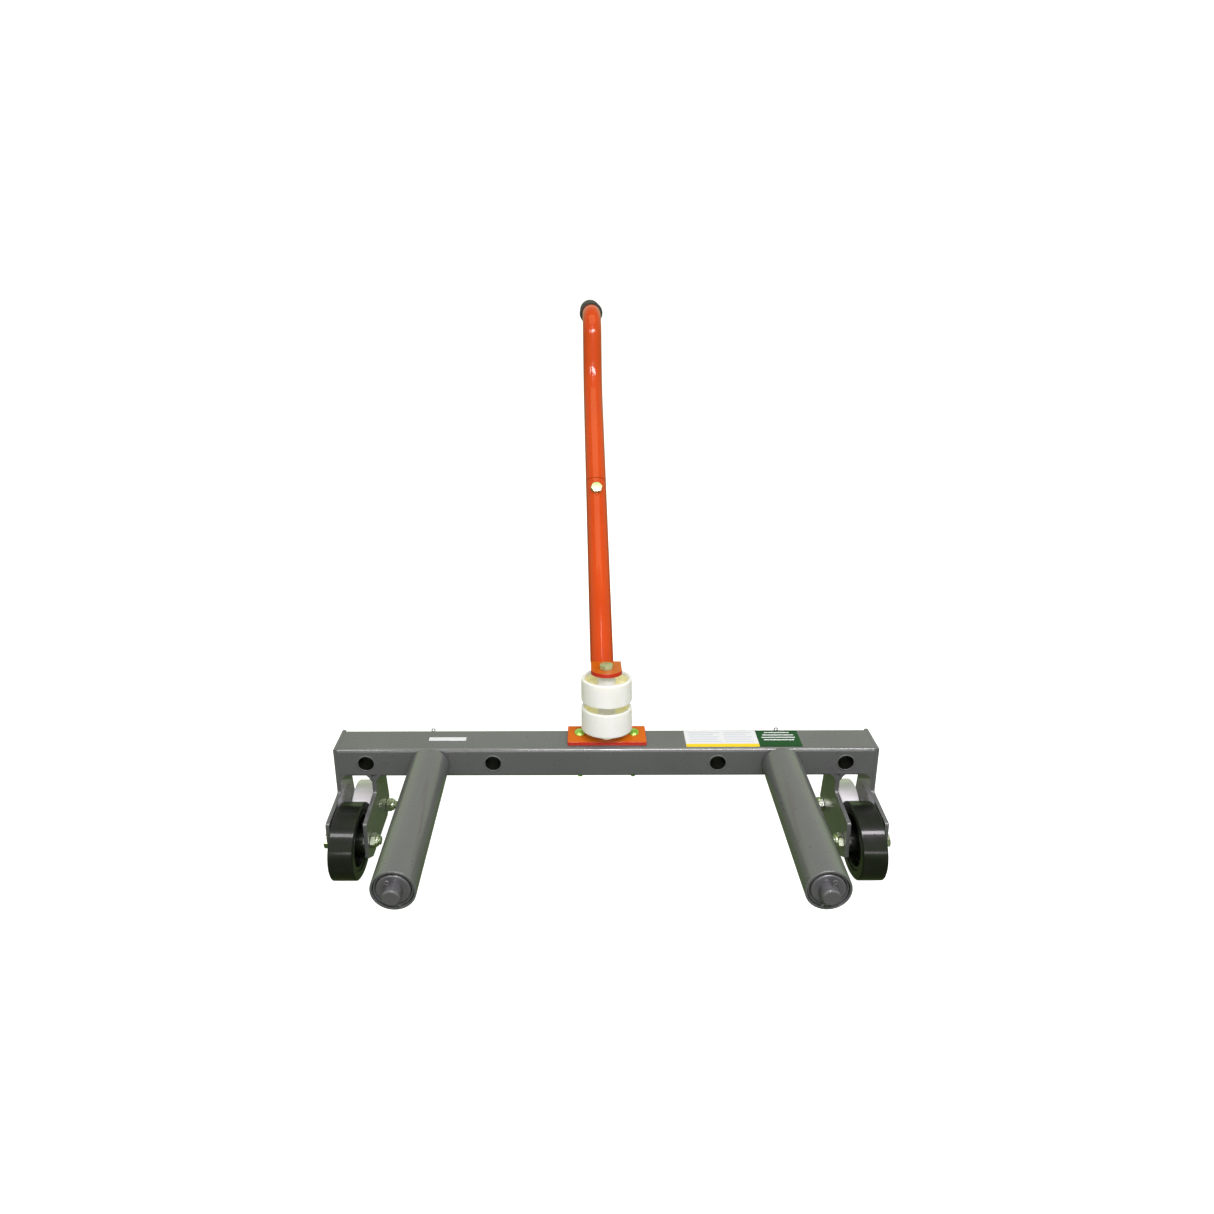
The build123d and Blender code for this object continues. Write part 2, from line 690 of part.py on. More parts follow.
def make_grip():
    """Closed rubber grip with a flange at its front, over the level end of the handle."""
    upright = handle_plane()
    level = upright.x_dir
    rise = from_foot(HANDLE_CROOK)[1]
    front = upright.from_local_coords(Vector(grip_end() - GRIP_LENGTH, rise))
    mouth = Plane(origin=front, x_dir=upright.z_dir, z_dir=level)
    with BuildPart() as grip:
        ring(mouth, GRIP_LENGTH, GRIP_R)
        fillet(grip.edges().filter_by(GeomType.CIRCLE).sort_by(Axis.Y)[-1], GRIP_ROUND)
        ring(mouth, GRIP_FLANGE, GRIP_FLANGE_R)
        ring(mouth, GRIP_LENGTH - GRIP_END, HANDLE_R, mode=Mode.SUBTRACT)
    return grip.part


def make_label(x, y, width, depth):
    """Thin blank label on top of the crossbeam."""
    with BuildPart() as label:
        with BuildSketch(facing_z(x, BEAM_FRONT + y, BEAM_TOP)):
            Rectangle(width, depth)
        extrude(amount=LABEL)
    return label.part


save(make_crossbeam(), "crossbeam")
save(make_leg_welds(), "leg_welds")
for name, side in SIDES:
    save(make_sleeves(side), f"{name}_sleeves")
    save(make_leg(side, OUTER_LEG_X, BEAM_TOP), f"{name}_outer_leg")
    save(make_leg(side, INNER_LEG_X, BEAM_BOTTOM), f"{name}_inner_leg")
    save(make_axle_bolts(side), f"{name}_axle_bolts")
    save(make_axle_nuts(side), f"{name}_axle_nuts")
    save(make_axle_spacers(side), f"{name}_axle_spacers")
    save(make_front_tyre(side), f"{name}_front_tyre")
    save(make_front_centre(side), f"{name}_front_wheel_centre")
    save(make_bearing(side, AXLE_Y[0], AXLE_Z[0]), f"{name}_front_bearing")
    save(make_rear_wheel(side), f"{name}_rear_wheel")
    save(make_bearing(side, AXLE_Y[1], AXLE_Z[1]), f"{name}_rear_bearing")
    save(make_fork_shaft(side), f"{name}_fork_shaft")
    save(make_roller_tube(side), f"{name}_roller_tube")
    save(make_roller_discs(side), f"{name}_roller_discs")
    save(make_roller_bushings(side), f"{name}_roller_bushings")
    save(make_fork_washers(side), f"{name}_fork_washers")
    save(make_fork_pins(side), f"{name}_fork_pins")
save(make_base_plate(), "handle_base_plate")
save(make_base_bolts(), "base_carriage_bolts")
save(make_base_washers(), "base_washers")
save(make_base_nuts(), "base_nuts")
save(make_guide_spindle(), "guide_spindle")
save(make_guide_spacers(), "guide_spacers")
save(make_guide_wheel(LOWER_GUIDE_AT), "lower_guide_wheel")
save(make_guide_wheel(UPPER_GUIDE_AT), "upper_guide_wheel")
save(make_handle_strap(), "handle_strap")
save(make_guide_bolt(), "guide_bolt")
save(make_lower_handle(), "lower_handle_tube")
save(make_upper_handle(), "upper_handle_tube")
save(make_joint_sleeve(), "joint_sleeve")
save(make_joint_bolt(), "joint_bolt")
save(make_joint_nut(), "joint_nut")
save(make_grip(), "grip")
for name, x, y, width, depth in LABELS:
    save(make_label(x, y, width, depth), name)
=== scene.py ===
import json
from math import atan2, cos, pi, radians, sin, tan

import bmesh
import bpy
from mathutils import Matrix, Vector
from mathutils.geometry import tessellate_polygon


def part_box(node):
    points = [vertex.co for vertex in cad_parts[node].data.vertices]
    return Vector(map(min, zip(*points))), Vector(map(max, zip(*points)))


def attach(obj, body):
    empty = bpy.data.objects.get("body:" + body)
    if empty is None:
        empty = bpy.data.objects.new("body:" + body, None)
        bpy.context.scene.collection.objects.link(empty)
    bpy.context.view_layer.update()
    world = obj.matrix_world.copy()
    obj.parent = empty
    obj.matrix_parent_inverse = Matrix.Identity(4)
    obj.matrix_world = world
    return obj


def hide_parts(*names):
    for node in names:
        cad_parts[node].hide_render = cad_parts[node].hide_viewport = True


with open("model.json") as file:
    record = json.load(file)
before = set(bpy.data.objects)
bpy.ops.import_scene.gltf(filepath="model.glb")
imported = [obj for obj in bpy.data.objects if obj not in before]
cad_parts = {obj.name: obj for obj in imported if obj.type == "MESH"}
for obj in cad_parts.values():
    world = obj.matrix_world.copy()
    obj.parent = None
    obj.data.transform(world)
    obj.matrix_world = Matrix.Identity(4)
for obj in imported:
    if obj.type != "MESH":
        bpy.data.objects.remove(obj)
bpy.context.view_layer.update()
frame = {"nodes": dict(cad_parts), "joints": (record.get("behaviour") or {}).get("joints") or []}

# Metres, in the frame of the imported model: +X right, +Y from the fork tips to the handle, +Z up.
MM = 0.001
X = Vector((1, 0, 0))
Y = Vector((0, 1, 0))
Z = Vector((0, 0, 1))
SIDES = (("left", -1), ("right", 1))
SEGMENTS = 96
ARC_STEPS = 5
TOUCHING = 1e-6
SHARP_EDGE = radians(40)

# Sizes that the boxes of the nodes don't give
BEAM_CORNER = 7.3 * MM
SLEEVE_R = 17.5 * MM
SLEEVE_BORE_R = 15.5 * MM
PLATE = 8 * MM
PLATE_CORNER = 5 * MM
WELD_LEG = 10.5 * MM
WELD_HOLLOW = 0.32
M16_R = 8 * MM
M16_FLATS = 24 * MM
M16_HEAD = 10 * MM
BEARING_R = 12 * MM
STRAP_HALF = 31 * MM
STRAP_BACK = 44 * MM
HANDLE_R = 24.15 * MM
HANDLE_WALL = 2.8 * MM
SPINDLE_R = 12.5 * MM
HANDLE_SWING = radians(1.23)
ACROSS_HANDLE = Vector((cos(HANDLE_SWING), sin(HANDLE_SWING), 0))
BEHIND_HANDLE = Vector((-sin(HANDLE_SWING), cos(HANDLE_SWING), 0))
# Corners of the handle's centreline: mm behind the crossbeam's front, and above its middle
FOOT_BEHIND, FOOT_ABOVE = 122, 144
KNEE_BEHIND, KNEE_ABOVE = 672, 632
CROOK_BEHIND, CROOK_ABOVE = 715, 808
# Distances up the handle from its foot
JOINT_BOLT = 410 * MM
JOINT_SEAM = 441 * MM
KNEE_RADIUS = 225 * MM
CROOK_RADIUS = 67 * MM
SPLIT_PIN = 56 * MM

joints = {joint["name"]: joint for joint in frame["joints"]}


# ---------------------------------------------------------------- places

def middle(node):
    """Middle of a node's box."""
    low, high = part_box(node)
    return (low + high) / 2


def basis(origin, axis, across):
    """Matrix whose Z runs along axis and whose X is as near to across as it can be."""
    z = Vector(axis).normalized()
    x = (Vector(across) - z * z.dot(Vector(across))).normalized()
    y = z.cross(x)
    columns = (x, y, z)
    matrix = Matrix([[column[row] for column in columns] for row in range(3)]).to_4x4()
    matrix.translation = Vector(origin)
    return matrix


def joint_basis(name, across=Y):
    """Matrix on a joint's axis, at the joint's place."""
    joint = joints[name]
    return basis(joint["pos_m"], joint["axis"], across)


# ---------------------------------------------------------------- outlines

def rounded(points, closed=True, steps=ARC_STEPS):
    """Round the corners of an outline. A point is (x, y), or (x, y, radius) for a round corner."""
    result = []
    count = len(points)
    for index, point in enumerate(points):
        corner = Vector(point[:2])
        radius = point[2] if len(point) > 2 else 0
        at_end = not closed and index in (0, count - 1)
        if not radius or at_end:
            result.append(corner)
            continue
        to_last = (Vector(points[index - 1][:2]) - corner).normalized()
        to_next = (Vector(points[(index + 1) % count][:2]) - corner).normalized()
        half = to_last.angle(to_next) / 2
        bisector = (to_last + to_next).normalized()
        centre = corner + bisector * radius / sin(half)
        start = corner + to_last * radius / tan(half) - centre
        end = corner + to_next * radius / tan(half) - centre
        turn = atan2(start.x * end.y - start.y * end.x, start.dot(end))
        for step in range(steps + 1):
            angle = turn * step / steps
            result.append(centre + Matrix.Rotation(angle, 2) @ start)
    return result


def circle(x, y, radius, segments=SEGMENTS // 2):
    """Round outline."""
    turns = (2 * pi * index / segments for index in range(segments))
    return [Vector((x + radius * cos(turn), y + radius * sin(turn))) for turn in turns]


def box_outline(low, high, corner):
    """Outline of a box seen from above, with round corners."""
    corners = ((low.x, low.y), (high.x, low.y), (high.x, high.y), (low.x, high.y))
    return rounded([(x, y, corner) for x, y in corners])


def ring_profile(inner, outer, start, end, inner_soft, outer_soft):
    """Section of a washer or a tube's wall, with its inner and outer corners rounded."""
    return rounded((
        (inner, start, inner_soft),
        (outer, start, outer_soft),
        (outer, end, outer_soft),
        (inner, end, inner_soft),
    ))


def signed_area(outline):
    """Area of an outline, positive when it runs counter-clockwise."""
    pairs = zip(outline, outline[1:] + outline[:1])
    return sum(a.x * b.y - b.x * a.y for a, b in pairs) / 2


def shrink(outline, distance):
    """Move every point of a counter-clockwise outline inwards, square to its neighbours."""
    result = []
    for index, point in enumerate(outline):
        before = (point - outline[index - 1]).normalized()
        after = (outline[(index + 1) % len(outline)] - point).normalized()
        inwards = Vector((-before.y - after.y, before.x + after.x))
        inwards.normalize()
        spread = max(0.4, inwards.dot(Vector((-before.y, before.x))))
        result.append(point + inwards * distance / spread)
    return result


# ---------------------------------------------------------------- solids

class Solid:
    """Collects the closed shells of one piece and turns them into a finished object."""

    def __init__(self):
        self.vertices = []
        self.faces = []
        self.kinds = []

    def face(self, indices, kind):
        self.faces.append(tuple(indices))
        self.kinds.append(kind)

    def shell(self, rings, kind=0, closed=False, kinds=None):
        """Skin over rings of points. A ring of one point is a pole, and closed joins last to first."""
        starts = []
        for points in rings:
            starts.append(len(self.vertices))
            self.vertices.extend(points)
        pairs = len(rings) if closed else len(rings) - 1
        for index in range(pairs):
            following = (index + 1) % len(rings)
            here, there = starts[index], starts[following]
            here_count, there_count = len(rings[index]), len(rings[following])
            count = max(here_count, there_count)
            chosen = kinds[index] if kinds else kind
            for step in range(count):
                after = (step + 1) % count
                if here_count == 1:
                    self.face((here, there + after, there + step), chosen)
                elif there_count == 1:
                    self.face((here + step, here + after, there), chosen)
                else:
                    corners = (here + step, here + after, there + after, there + step)
                    self.face(corners, chosen)

    def turned(self, place, profile, closed=True, segments=SEGMENTS, kinds=None):
        """Revolve a profile of (radius, along) points about the Z axis of a place."""
        rings = []
        for radius, along in profile:
            if radius < 1e-7:
                rings.append([place @ Vector((0, 0, along))])
                continue
            outline = circle(0, 0, radius, segments)
            rings.append([place @ Vector((point.x, point.y, along)) for point in outline])
        self.shell(rings, closed=closed, kinds=kinds)

    def hexagon(self, place, start, end, flats, bore, turn, chamfer_start=False):
        """Hexagonal head or nut with chamfered corners, between two places along Z."""
        apothem = flats / 2
        crown = apothem * 0.93
        slope = tan(radians(30))

        def outer(height, chamfered):
            ring = []
            for index in range(SEGMENTS):
                angle = 2 * pi * index / SEGMENTS
                radius = apothem / cos(angle % (pi / 3) - pi / 6)
                drop = (radius - crown) * slope if chamfered else 0
                along = height - drop if height > start else height + drop
                point = Vector((radius * cos(angle + turn), radius * sin(angle + turn), along))
                ring.append(place @ point)
            return ring

        def round_ring(radius, height):
            points = circle(0, 0, radius, SEGMENTS)
            spun = [Matrix.Rotation(turn, 2) @ point for point in points]
            return [place @ Vector((point.x, point.y, height)) for point in spun]

        lead = 0.5 * MM
        rings = [outer(start, chamfer_start), outer(end, True), round_ring(crown, end)]
        if bore:
            rings.append(round_ring(bore + lead, end))
            rings.append(round_ring(bore, end - lead))
            rings.append(round_ring(bore, start + lead))
            rings.append(round_ring(bore + lead, start))
        else:
            rings.append([place @ Vector((0, 0, end))])
            rings.insert(0, [place @ Vector((0, 0, start))])
        if chamfer_start and bore:
            rings.append(round_ring(crown, start))
        self.shell(rings, closed=bool(bore))

    def plate(self, place, outline, thickness, edge, side_kind=0, cap_kind=0):
        """Flat plate with rounded edges, its outline in the place's XY and its thickness along Z."""
        steps = 3
        lower = []
        for step in range(steps + 1):
            angle = pi / 2 * step / steps
            lower.append((edge * (1 - cos(angle)), edge * (1 - sin(angle))))
        levels = lower + [(thickness - height, inset) for height, inset in reversed(lower)]
        loop = outline if signed_area(outline) > 0 else outline[::-1]
        first = len(self.vertices)
        rings = []
        for height, inset in levels:
            rise = place.to_3x3() @ Z * height
            rings.append([place @ point.to_3d() + rise for point in shrink(loop, inset)])
        self.shell(rings, side_kind)
        for level in (0, len(levels) - 1):
            cap = [point.to_3d() for point in shrink(loop, levels[level][1])]
            for triangle in tessellate_polygon([cap]):
                self.face([first + level * len(loop) + index for index in triangle], cap_kind)

    def tube(self, path, radius, across, segments=SEGMENTS, inner=0.0, foot=None):
        """Round bar or tube along a path of (point, direction). foot moves its first ring's points."""
        def ring(point, direction, size):
            up = direction.cross(across).normalized()
            side = up.cross(direction).normalized()
            return [point + side * p.x + up * p.y for p in circle(0, 0, size, segments)]

        outside = [ring(point, direction, radius) for point, direction in path]
        if inner:
            inside = [ring(point, direction, inner) for point, direction in path]
            if foot:
                outside[0] = [foot(point, path[0][1]) for point in outside[0]]
                inside[0] = [foot(point, path[0][1]) for point in inside[0]]
            self.shell(outside + inside[::-1], closed=True)
        else:
            self.shell([[path[0][0]]] + outside + [[path[-1][0]]])

    def mesh(self, name, materials=()):
        """Mesh of all the shells, with a material for each kind of face."""
        mesh = bpy.data.meshes.new(name)
        mesh.from_pydata(self.vertices, [], self.faces)
        for material in materials:
            mesh.materials.append(material)
        mesh.polygons.foreach_set("material_index", self.kinds)
        return mesh

    def finish(self, name, body, slot, materials, replaced=()):
        """Make the object, shade it, and tie it to its body and CAD nodes. The slot argument is not used."""
        finish_mesh(name, self.mesh(name, materials), body, replaced)


def add_object(name, data):
    """Put an object in the scene."""
    made = bpy.data.objects.new(name, data)
    bpy.context.scene.collection.objects.link(made)
    return made


def clean(mesh, dissolve=False):
    """Join the points of a closed mesh that touch, and turn its faces outwards."""
    work = bmesh.new()
    work.from_mesh(mesh)
    bmesh.ops.remove_doubles(work, verts=work.verts, dist=TOUCHING)
    if dissolve:
        bmesh.ops.dissolve_degenerate(work, edges=work.edges, dist=TOUCHING)
    bmesh.ops.recalc_face_normals(work, faces=work.faces)
    work.to_mesh(mesh)
    work.free()


def finish_mesh(name, mesh, body, replaced):
    """Clean a mesh, give it smooth faces with sharp edges kept, and tie it to the frame."""
    clean(mesh, dissolve=True)
    mesh.polygons.foreach_set("use_smooth", [True] * len(mesh.polygons))
    mesh.set_sharp_from_angle(angle=SHARP_EDGE)
    piece = add_object(name, mesh)
    weighted = piece.modifiers.new("weighted", "WEIGHTED_NORMAL")
    weighted.keep_sharp = True
    apply_modifiers(piece)
    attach(piece, body)
    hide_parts(*replaced)


def apply_modifiers(piece):
    """Replace a piece's mesh with what its modifiers make of it."""
    graph = bpy.context.evaluated_depsgraph_get()
    made = bpy.data.meshes.new_from_object(piece.evaluated_get(graph))
    piece.modifiers.clear()
    piece.data = made


def cut_round(mesh, cutters):
    """Cut round bars, each (place, radius, length), out of a mesh."""
    tools = Solid()
    for place, radius, length in cutters:
        profile = ((0, -length / 2), (radius, -length / 2), (radius, length / 2), (0, length / 2))
        tools.turned(place, profile, closed=False)
    tool_mesh = tools.mesh("cutter")
    clean(tool_mesh)
    clean(mesh)
    target = add_object("target", mesh)
    tool = add_object("cutter", tool_mesh)
    boolean = target.modifiers.new("cut", "BOOLEAN")
    boolean.operation = "DIFFERENCE"
    boolean.solver = "EXACT"
    boolean.object = tool
    apply_modifiers(target)
    result = target.data
    bpy.data.objects.remove(target)
    bpy.data.objects.remove(tool)
    return result


# ---------------------------------------------------------------- materials

def fill_ramp(node, stops):
    """Set a ramp node's colours, given as (position, colour)."""
    elements = node.color_ramp.elements
    while len(elements) < len(stops):
        elements.new(0.5)
    for element, (position, colour) in zip(elements, stops):
        element.position = position
        element.color = (*colour, 1)


class Shader:
    """A material and short ways to add nodes to it."""

    def __init__(self, name, **sockets):
        self.material = bpy.data.materials.new(name)
        self.material.use_nodes = True
        self.tree = self.material.node_tree
        self.surface = self.tree.nodes["Principled BSDF"]
        for socket, value in sockets.items():
            self.surface.inputs[socket.replace("_", " ")].default_value = value

    def node(self, kind, **settings):
        made = self.tree.nodes.new(kind)
        for name, value in settings.items():
            setattr(made, name, value)
        return made

    def link(self, output, socket):
        self.tree.links.new(output, socket)

    def noise(self, scale, detail):
        """Noise in the piece's own metres."""
        place = self.node("ShaderNodeTexCoord")
        texture = self.node("ShaderNodeTexNoise")
        texture.inputs["Scale"].default_value = scale
        texture.inputs["Detail"].default_value = detail
        self.link(place.outputs["Object"], texture.inputs["Vector"])
        return texture.outputs["Fac"]

    def ramp(self, value, stops):
        """Colours along a value, given as (position, colour)."""
        ramp = self.node("ShaderNodeValToRGB")
        fill_ramp(ramp, stops)
        self.link(value, ramp.inputs["Fac"])
        return ramp.outputs["Color"]

    def spread(self, value, low, high):
        """Map the usual span of a noise onto low to high."""
        mapped = self.node("ShaderNodeMapRange")
        mapped.inputs["From Min"].default_value = 0.3
        mapped.inputs["From Max"].default_value = 0.7
        mapped.inputs["To Min"].default_value = low
        mapped.inputs["To Max"].default_value = high
        self.link(value, mapped.inputs["Value"])
        return mapped.outputs["Result"]

    def colour(self, output):
        self.link(output, self.surface.inputs["Base Color"])

    def roughness(self, scale, low, high):
        grain = self.noise(scale, 3)
        self.link(self.spread(grain, low, high), self.surface.inputs["Roughness"])

    def bump(self, height, strength, distance, coat=False):
        bump = self.node("ShaderNodeBump")
        bump.inputs["Strength"].default_value = strength
        bump.inputs["Distance"].default_value = distance
        self.link(height, bump.inputs["Height"])
        self.link(bump.outputs["Normal"], self.surface.inputs["Normal"])
        if coat:
            self.link(bump.outputs["Normal"], self.surface.inputs["Coat Normal"])


def tint(colour, factor):
    return tuple(channel * factor for channel in colour)


def paint(name, colour, shade, roughness=0.3, coat=0.6, shine=0.5):
    """Gloss paint: tone drifts a little, with a fine orange peel in the clear coat."""
    shader = Shader(name, Coat_Weight=coat, Coat_Roughness=0.07, Specular_IOR_Level=shine)
    drift = shader.noise(7, 2)
    shader.colour(shader.ramp(drift, ((0.25, shade), (0.55, colour), (0.8, tint(colour, 1.06)))))
    shader.roughness(60, roughness - 0.04, roughness + 0.06)
    shader.bump(shader.noise(260, 1), 0.04, 0.1 * MM, coat=True)
    return shader.material


def zinc(name, bright, olive, roughness=0.24):
    """Bright passivated zinc with yellow-green clouds and fine plating grain."""
    shader = Shader(name, Metallic=1.0)
    clouds = shader.noise(45, 2)
    shader.colour(shader.ramp(clouds, ((0.35, olive), (0.5, bright), (0.7, tint(bright, 1.08)))))
    shader.roughness(160, roughness, roughness + 0.12)
    shader.bump(shader.noise(700, 1), 0.04, 0.05 * MM)
    return shader.material


def turned_steel():
    """Turned bearing steel with fine tool marks."""
    shader = Shader("turned_steel", Metallic=1.0)
    stops = ((0.3, (0.36, 0.36, 0.37)), (0.7, (0.52, 0.52, 0.51)))
    shader.colour(shader.ramp(shader.noise(50, 3), stops))
    shader.roughness(150, 0.25, 0.42)
    shader.bump(shader.noise(900, 2), 0.15, 0.08 * MM)
    return shader.material


def nylon(name, colour, shade, glow=(0, 0, 0)):
    """Milky nylon that lets light in by subsurface scattering, with a faint moulding grain; its glow colour
    is emitted as a painted glow that stands in for light coming through the nylon.
    """
    shader = Shader(
        name,
        Emission_Color=(*glow, 1),
        Emission_Strength=1,
        Subsurface_Weight=0.5,
        Subsurface_Scale=0.03,
        Subsurface_Radius=(1.0, 0.92, 0.6),
        Specular_IOR_Level=0.45,
    )
    shader.colour(shader.ramp(shader.noise(26, 4), ((0.3, shade), (0.6, colour))))
    shader.roughness(130, 0.3, 0.46)
    shader.bump(shader.noise(700, 3), 0.12, 0.12 * MM)
    return shader.material


def wheel_black():
    """Hard gloss black of the front wheels, finely speckled."""
    shader = Shader("wheel_black", Coat_Weight=0.35, Coat_Roughness=0.1, Specular_IOR_Level=0.12)
    stops = ((0.35, (0.004, 0.006, 0.003)), (0.6, (0.007, 0.007, 0.007)), (0.8, (0.012, 0.01, 0.013)))
    shader.colour(shader.ramp(shader.noise(30, 4), stops))
    shader.roughness(900, 0.24, 0.4)
    shader.bump(shader.noise(700, 2), 0.08, 0.1 * MM, coat=True)
    return shader.material


def rubber():
    """Satin black rubber of the grip."""
    shader = Shader("grip_rubber", Specular_IOR_Level=0.4)
    stops = ((0.3, (0.009, 0.009, 0.01)), (0.7, (0.019, 0.018, 0.018)))
    shader.colour(shader.ramp(shader.noise(60, 4), stops))
    shader.roughness(220, 0.42, 0.62)
    shader.bump(shader.noise(1500, 3), 0.3, 0.15 * MM)
    return shader.material


def film(name, stops, low, high):
    """Printed label film: plain colours in bands from its front edge to its back."""
    shader = Shader(name, Coat_Weight=0.05, Coat_Roughness=0.2, Specular_IOR_Level=0.2)
    place = shader.node("ShaderNodeTexCoord")
    split = shader.node("ShaderNodeSeparateXYZ")
    along = shader.node("ShaderNodeMapRange")
    along.inputs["From Min"].default_value = low
    along.inputs["From Max"].default_value = high
    shader.link(place.outputs["Object"], split.inputs["Vector"])
    shader.link(split.outputs["Y"], along.inputs["Value"])
    bands = shader.ramp(along.outputs["Result"], stops)
    bands.node.color_ramp.interpolation = "CONSTANT"
    shader.colour(bands)
    shader.roughness(90, 0.32, 0.48)
    shader.bump(shader.noise(500, 2), 0.06, 0.1 * MM)
    return shader.material


GREY = (0.076, 0.075, 0.083)
SHAFT_GREY = (0.072, 0.068, 0.08)
grey_paint = paint("grey_paint", GREY, tint(GREY, 0.9))
shaft_paint = paint("shaft_paint", SHAFT_GREY, tint(SHAFT_GREY, 0.88), roughness=0.26)
orange_paint = paint("orange_paint", (0.4, 0.08, 0.002), (0.35, 0.065, 0.002), 0.32, 0.15, 0.1)
# Darker red painted shade for the side edges of the orange plate and strap, whose tops stay orange
side_shade_paint = paint("side_shade_paint", (0.36, 0.018, 0.006), (0.3, 0.014, 0.005), 0.28, 0.5, 0.2)
red_paint = paint("red_paint", (0.37, 0.035, 0.001), (0.34, 0.028, 0.001), 0.3, 0.5, 0.05)
# Near-black painted shade for the sleeve bores and the grooves of the roller end discs, where shade falls
painted_shade_black = paint("painted_shade_black", (0.004, 0.004, 0.003), (0.003, 0.003, 0.002), 0.5, 0.0, 0.1)
bright_zinc = zinc("bright_zinc", (0.5, 0.52, 0.46), (0.4, 0.45, 0.3))
green_zinc = zinc("green_zinc", (0.52, 0.62, 0.42), (0.44, 0.58, 0.3), 0.42)
yellow_zinc = zinc("yellow_zinc", (0.42, 0.66, 0.16), (0.3, 0.58, 0.06))
steel = turned_steel()
# The nylons emit their glow colours as painted glow, which evens out their shading
white_nylon = nylon("white_nylon", (0.46, 0.45, 0.475), (0.44, 0.435, 0.45), (0.14, 0.14, 0.13))
# Copy for the guide wheels' recesses: yellower, with a stronger painted glow as painted light
glowing_recess_nylon = nylon("glowing_recess_nylon", (0.56, 0.55, 0.36), (0.53, 0.52, 0.32), (0.24, 0.22, 0.11))
# Copy for the guide spacers, with the strongest painted glow
glowing_spacer_nylon = nylon("glowing_spacer_nylon", (0.5, 0.5, 0.46), (0.47, 0.47, 0.42), (0.42, 0.41, 0.34))
black_wheel = wheel_black()
black_rubber = rubber()


# ---------------------------------------------------------------- frame

def make_crossbeam():
    """Square tube with round corners, cut through for the six sleeves."""
    low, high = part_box("crossbeam")
    centre = middle("crossbeam")
    wall = 4 * MM
    place = basis((low.x, centre.y, centre.z), X, Y)
    half = (high.y - low.y) / 2
    rings = []
    for size, corner in ((half, BEAM_CORNER), (half - wall, BEAM_CORNER - wall)):
        corners = ((size, size), (-size, size), (-size, -size), (size, -size))
        outline = rounded([(x, y, corner) for x, y in corners], steps=8)
        for along in (0, high.x - low.x):
            rings.append([place @ Vector((point.x, point.y, along)) for point in outline])
    outer_start, outer_end, inner_start, inner_end = rings
    tube = Solid()
    tube.shell([outer_start, outer_end, inner_end, inner_start], closed=True)
    cutters = []
    for name, _ in SIDES:
        for x in sleeve_places(name):
            cutters.append((basis((x, centre.y, centre.z), Y, Z), SLEEVE_R, 4 * half))
    mesh = cut_round(tube.mesh("crossbeam_tube", [grey_paint]), cutters)
    finish_mesh("crossbeam_tube", mesh, "frame", ["crossbeam"])


def sleeve_places(name):
    """X of the three sleeves on one side, read from the node's own points."""
    points = [vertex.co.x for vertex in frame["nodes"][f"{name}_sleeves"].data.vertices]
    span = 2.2 * SLEEVE_R
    sleeves = []
    for x in sorted(points):
        if sleeves and x - sleeves[-1][0] < span:
            sleeves[-1].append(x)
        else:
            sleeves.append([x])
    return [(sleeve[0] + sleeve[-1]) / 2 for sleeve in sleeves]


def make_sleeves(name):
    """Bushes welded through the crossbeam: a round lip at each end and a thin weld round it. Their bores are
    painted near black as painted shade.
    """
    low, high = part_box(f"{name}_sleeves")
    length = high.y - low.y
    lip = 0.5 * MM
    bead = 1.6 * MM
    sleeves = Solid()
    for x in sleeve_places(name):
        place = basis((x, low.y, middle("crossbeam").z), Y, Z)
        profile = ring_profile(SLEEVE_BORE_R, SLEEVE_R, -lip, length + lip, 0.7 * MM, 0.5 * MM)
        turns = zip(profile, profile[1:] + profile[:1])
        # Faces of the bore get the near-black painted shade
        in_shade = [int(max(here.x, there.x) < SLEEVE_BORE_R + 0.1 * MM) for here, there in turns]
        sleeves.turned(place, profile, kinds=in_shade)
        for face, away in ((0, -1), (length, 1)):
            ridge = (
                (SLEEVE_R - lip, face - away * lip),
                (SLEEVE_R - lip, face + away * 0.6 * MM),
                (SLEEVE_R + bead / 2, face + away * 0.4 * MM),
                (SLEEVE_R + bead, face - away * lip),
            )
            sleeves.turned(place, ridge)
    materials = [grey_paint, painted_shade_black]
    sleeves.finish(f"{name}_sleeve_bushes", "frame", "grey_paint", materials, [f"{name}_sleeves"])


def leg_outline(top, square_top):
    """Outline of a leg plate as (Y, Z): its foot is in mm from the beam's front and middle."""
    beam_low, beam_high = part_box("crossbeam")
    front, back, height = beam_low.y, beam_high.y, middle("crossbeam").z
    foot = (
        (0, -68),
        (-77, -76),
        (-80, -152),
        (-55, -171),
        (56, -172),
        (79, -142),
        (70, -80),
    )
    points = [(front, top)]
    points += [(front + y * MM, height + z * MM, PLATE_CORNER) for y, z in foot]
    points.append((back, beam_low.z))
    if square_top:
        points.append((back, top))
    return rounded(points)


def make_leg(name, which):
    """Leg plate cut from flat bar, with its sharp edges dressed."""
    node = f"{name}_{which}_leg"
    low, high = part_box(node)
    place = basis((low.x, 0, 0), X, Y)
    leg = Solid()
    leg.plate(place, leg_outline(high.z, which == "outer"), high.x - low.x, 1.0 * MM)
    leg.finish(f"{node}_plate", "frame", "grey_paint", [grey_paint], [node])


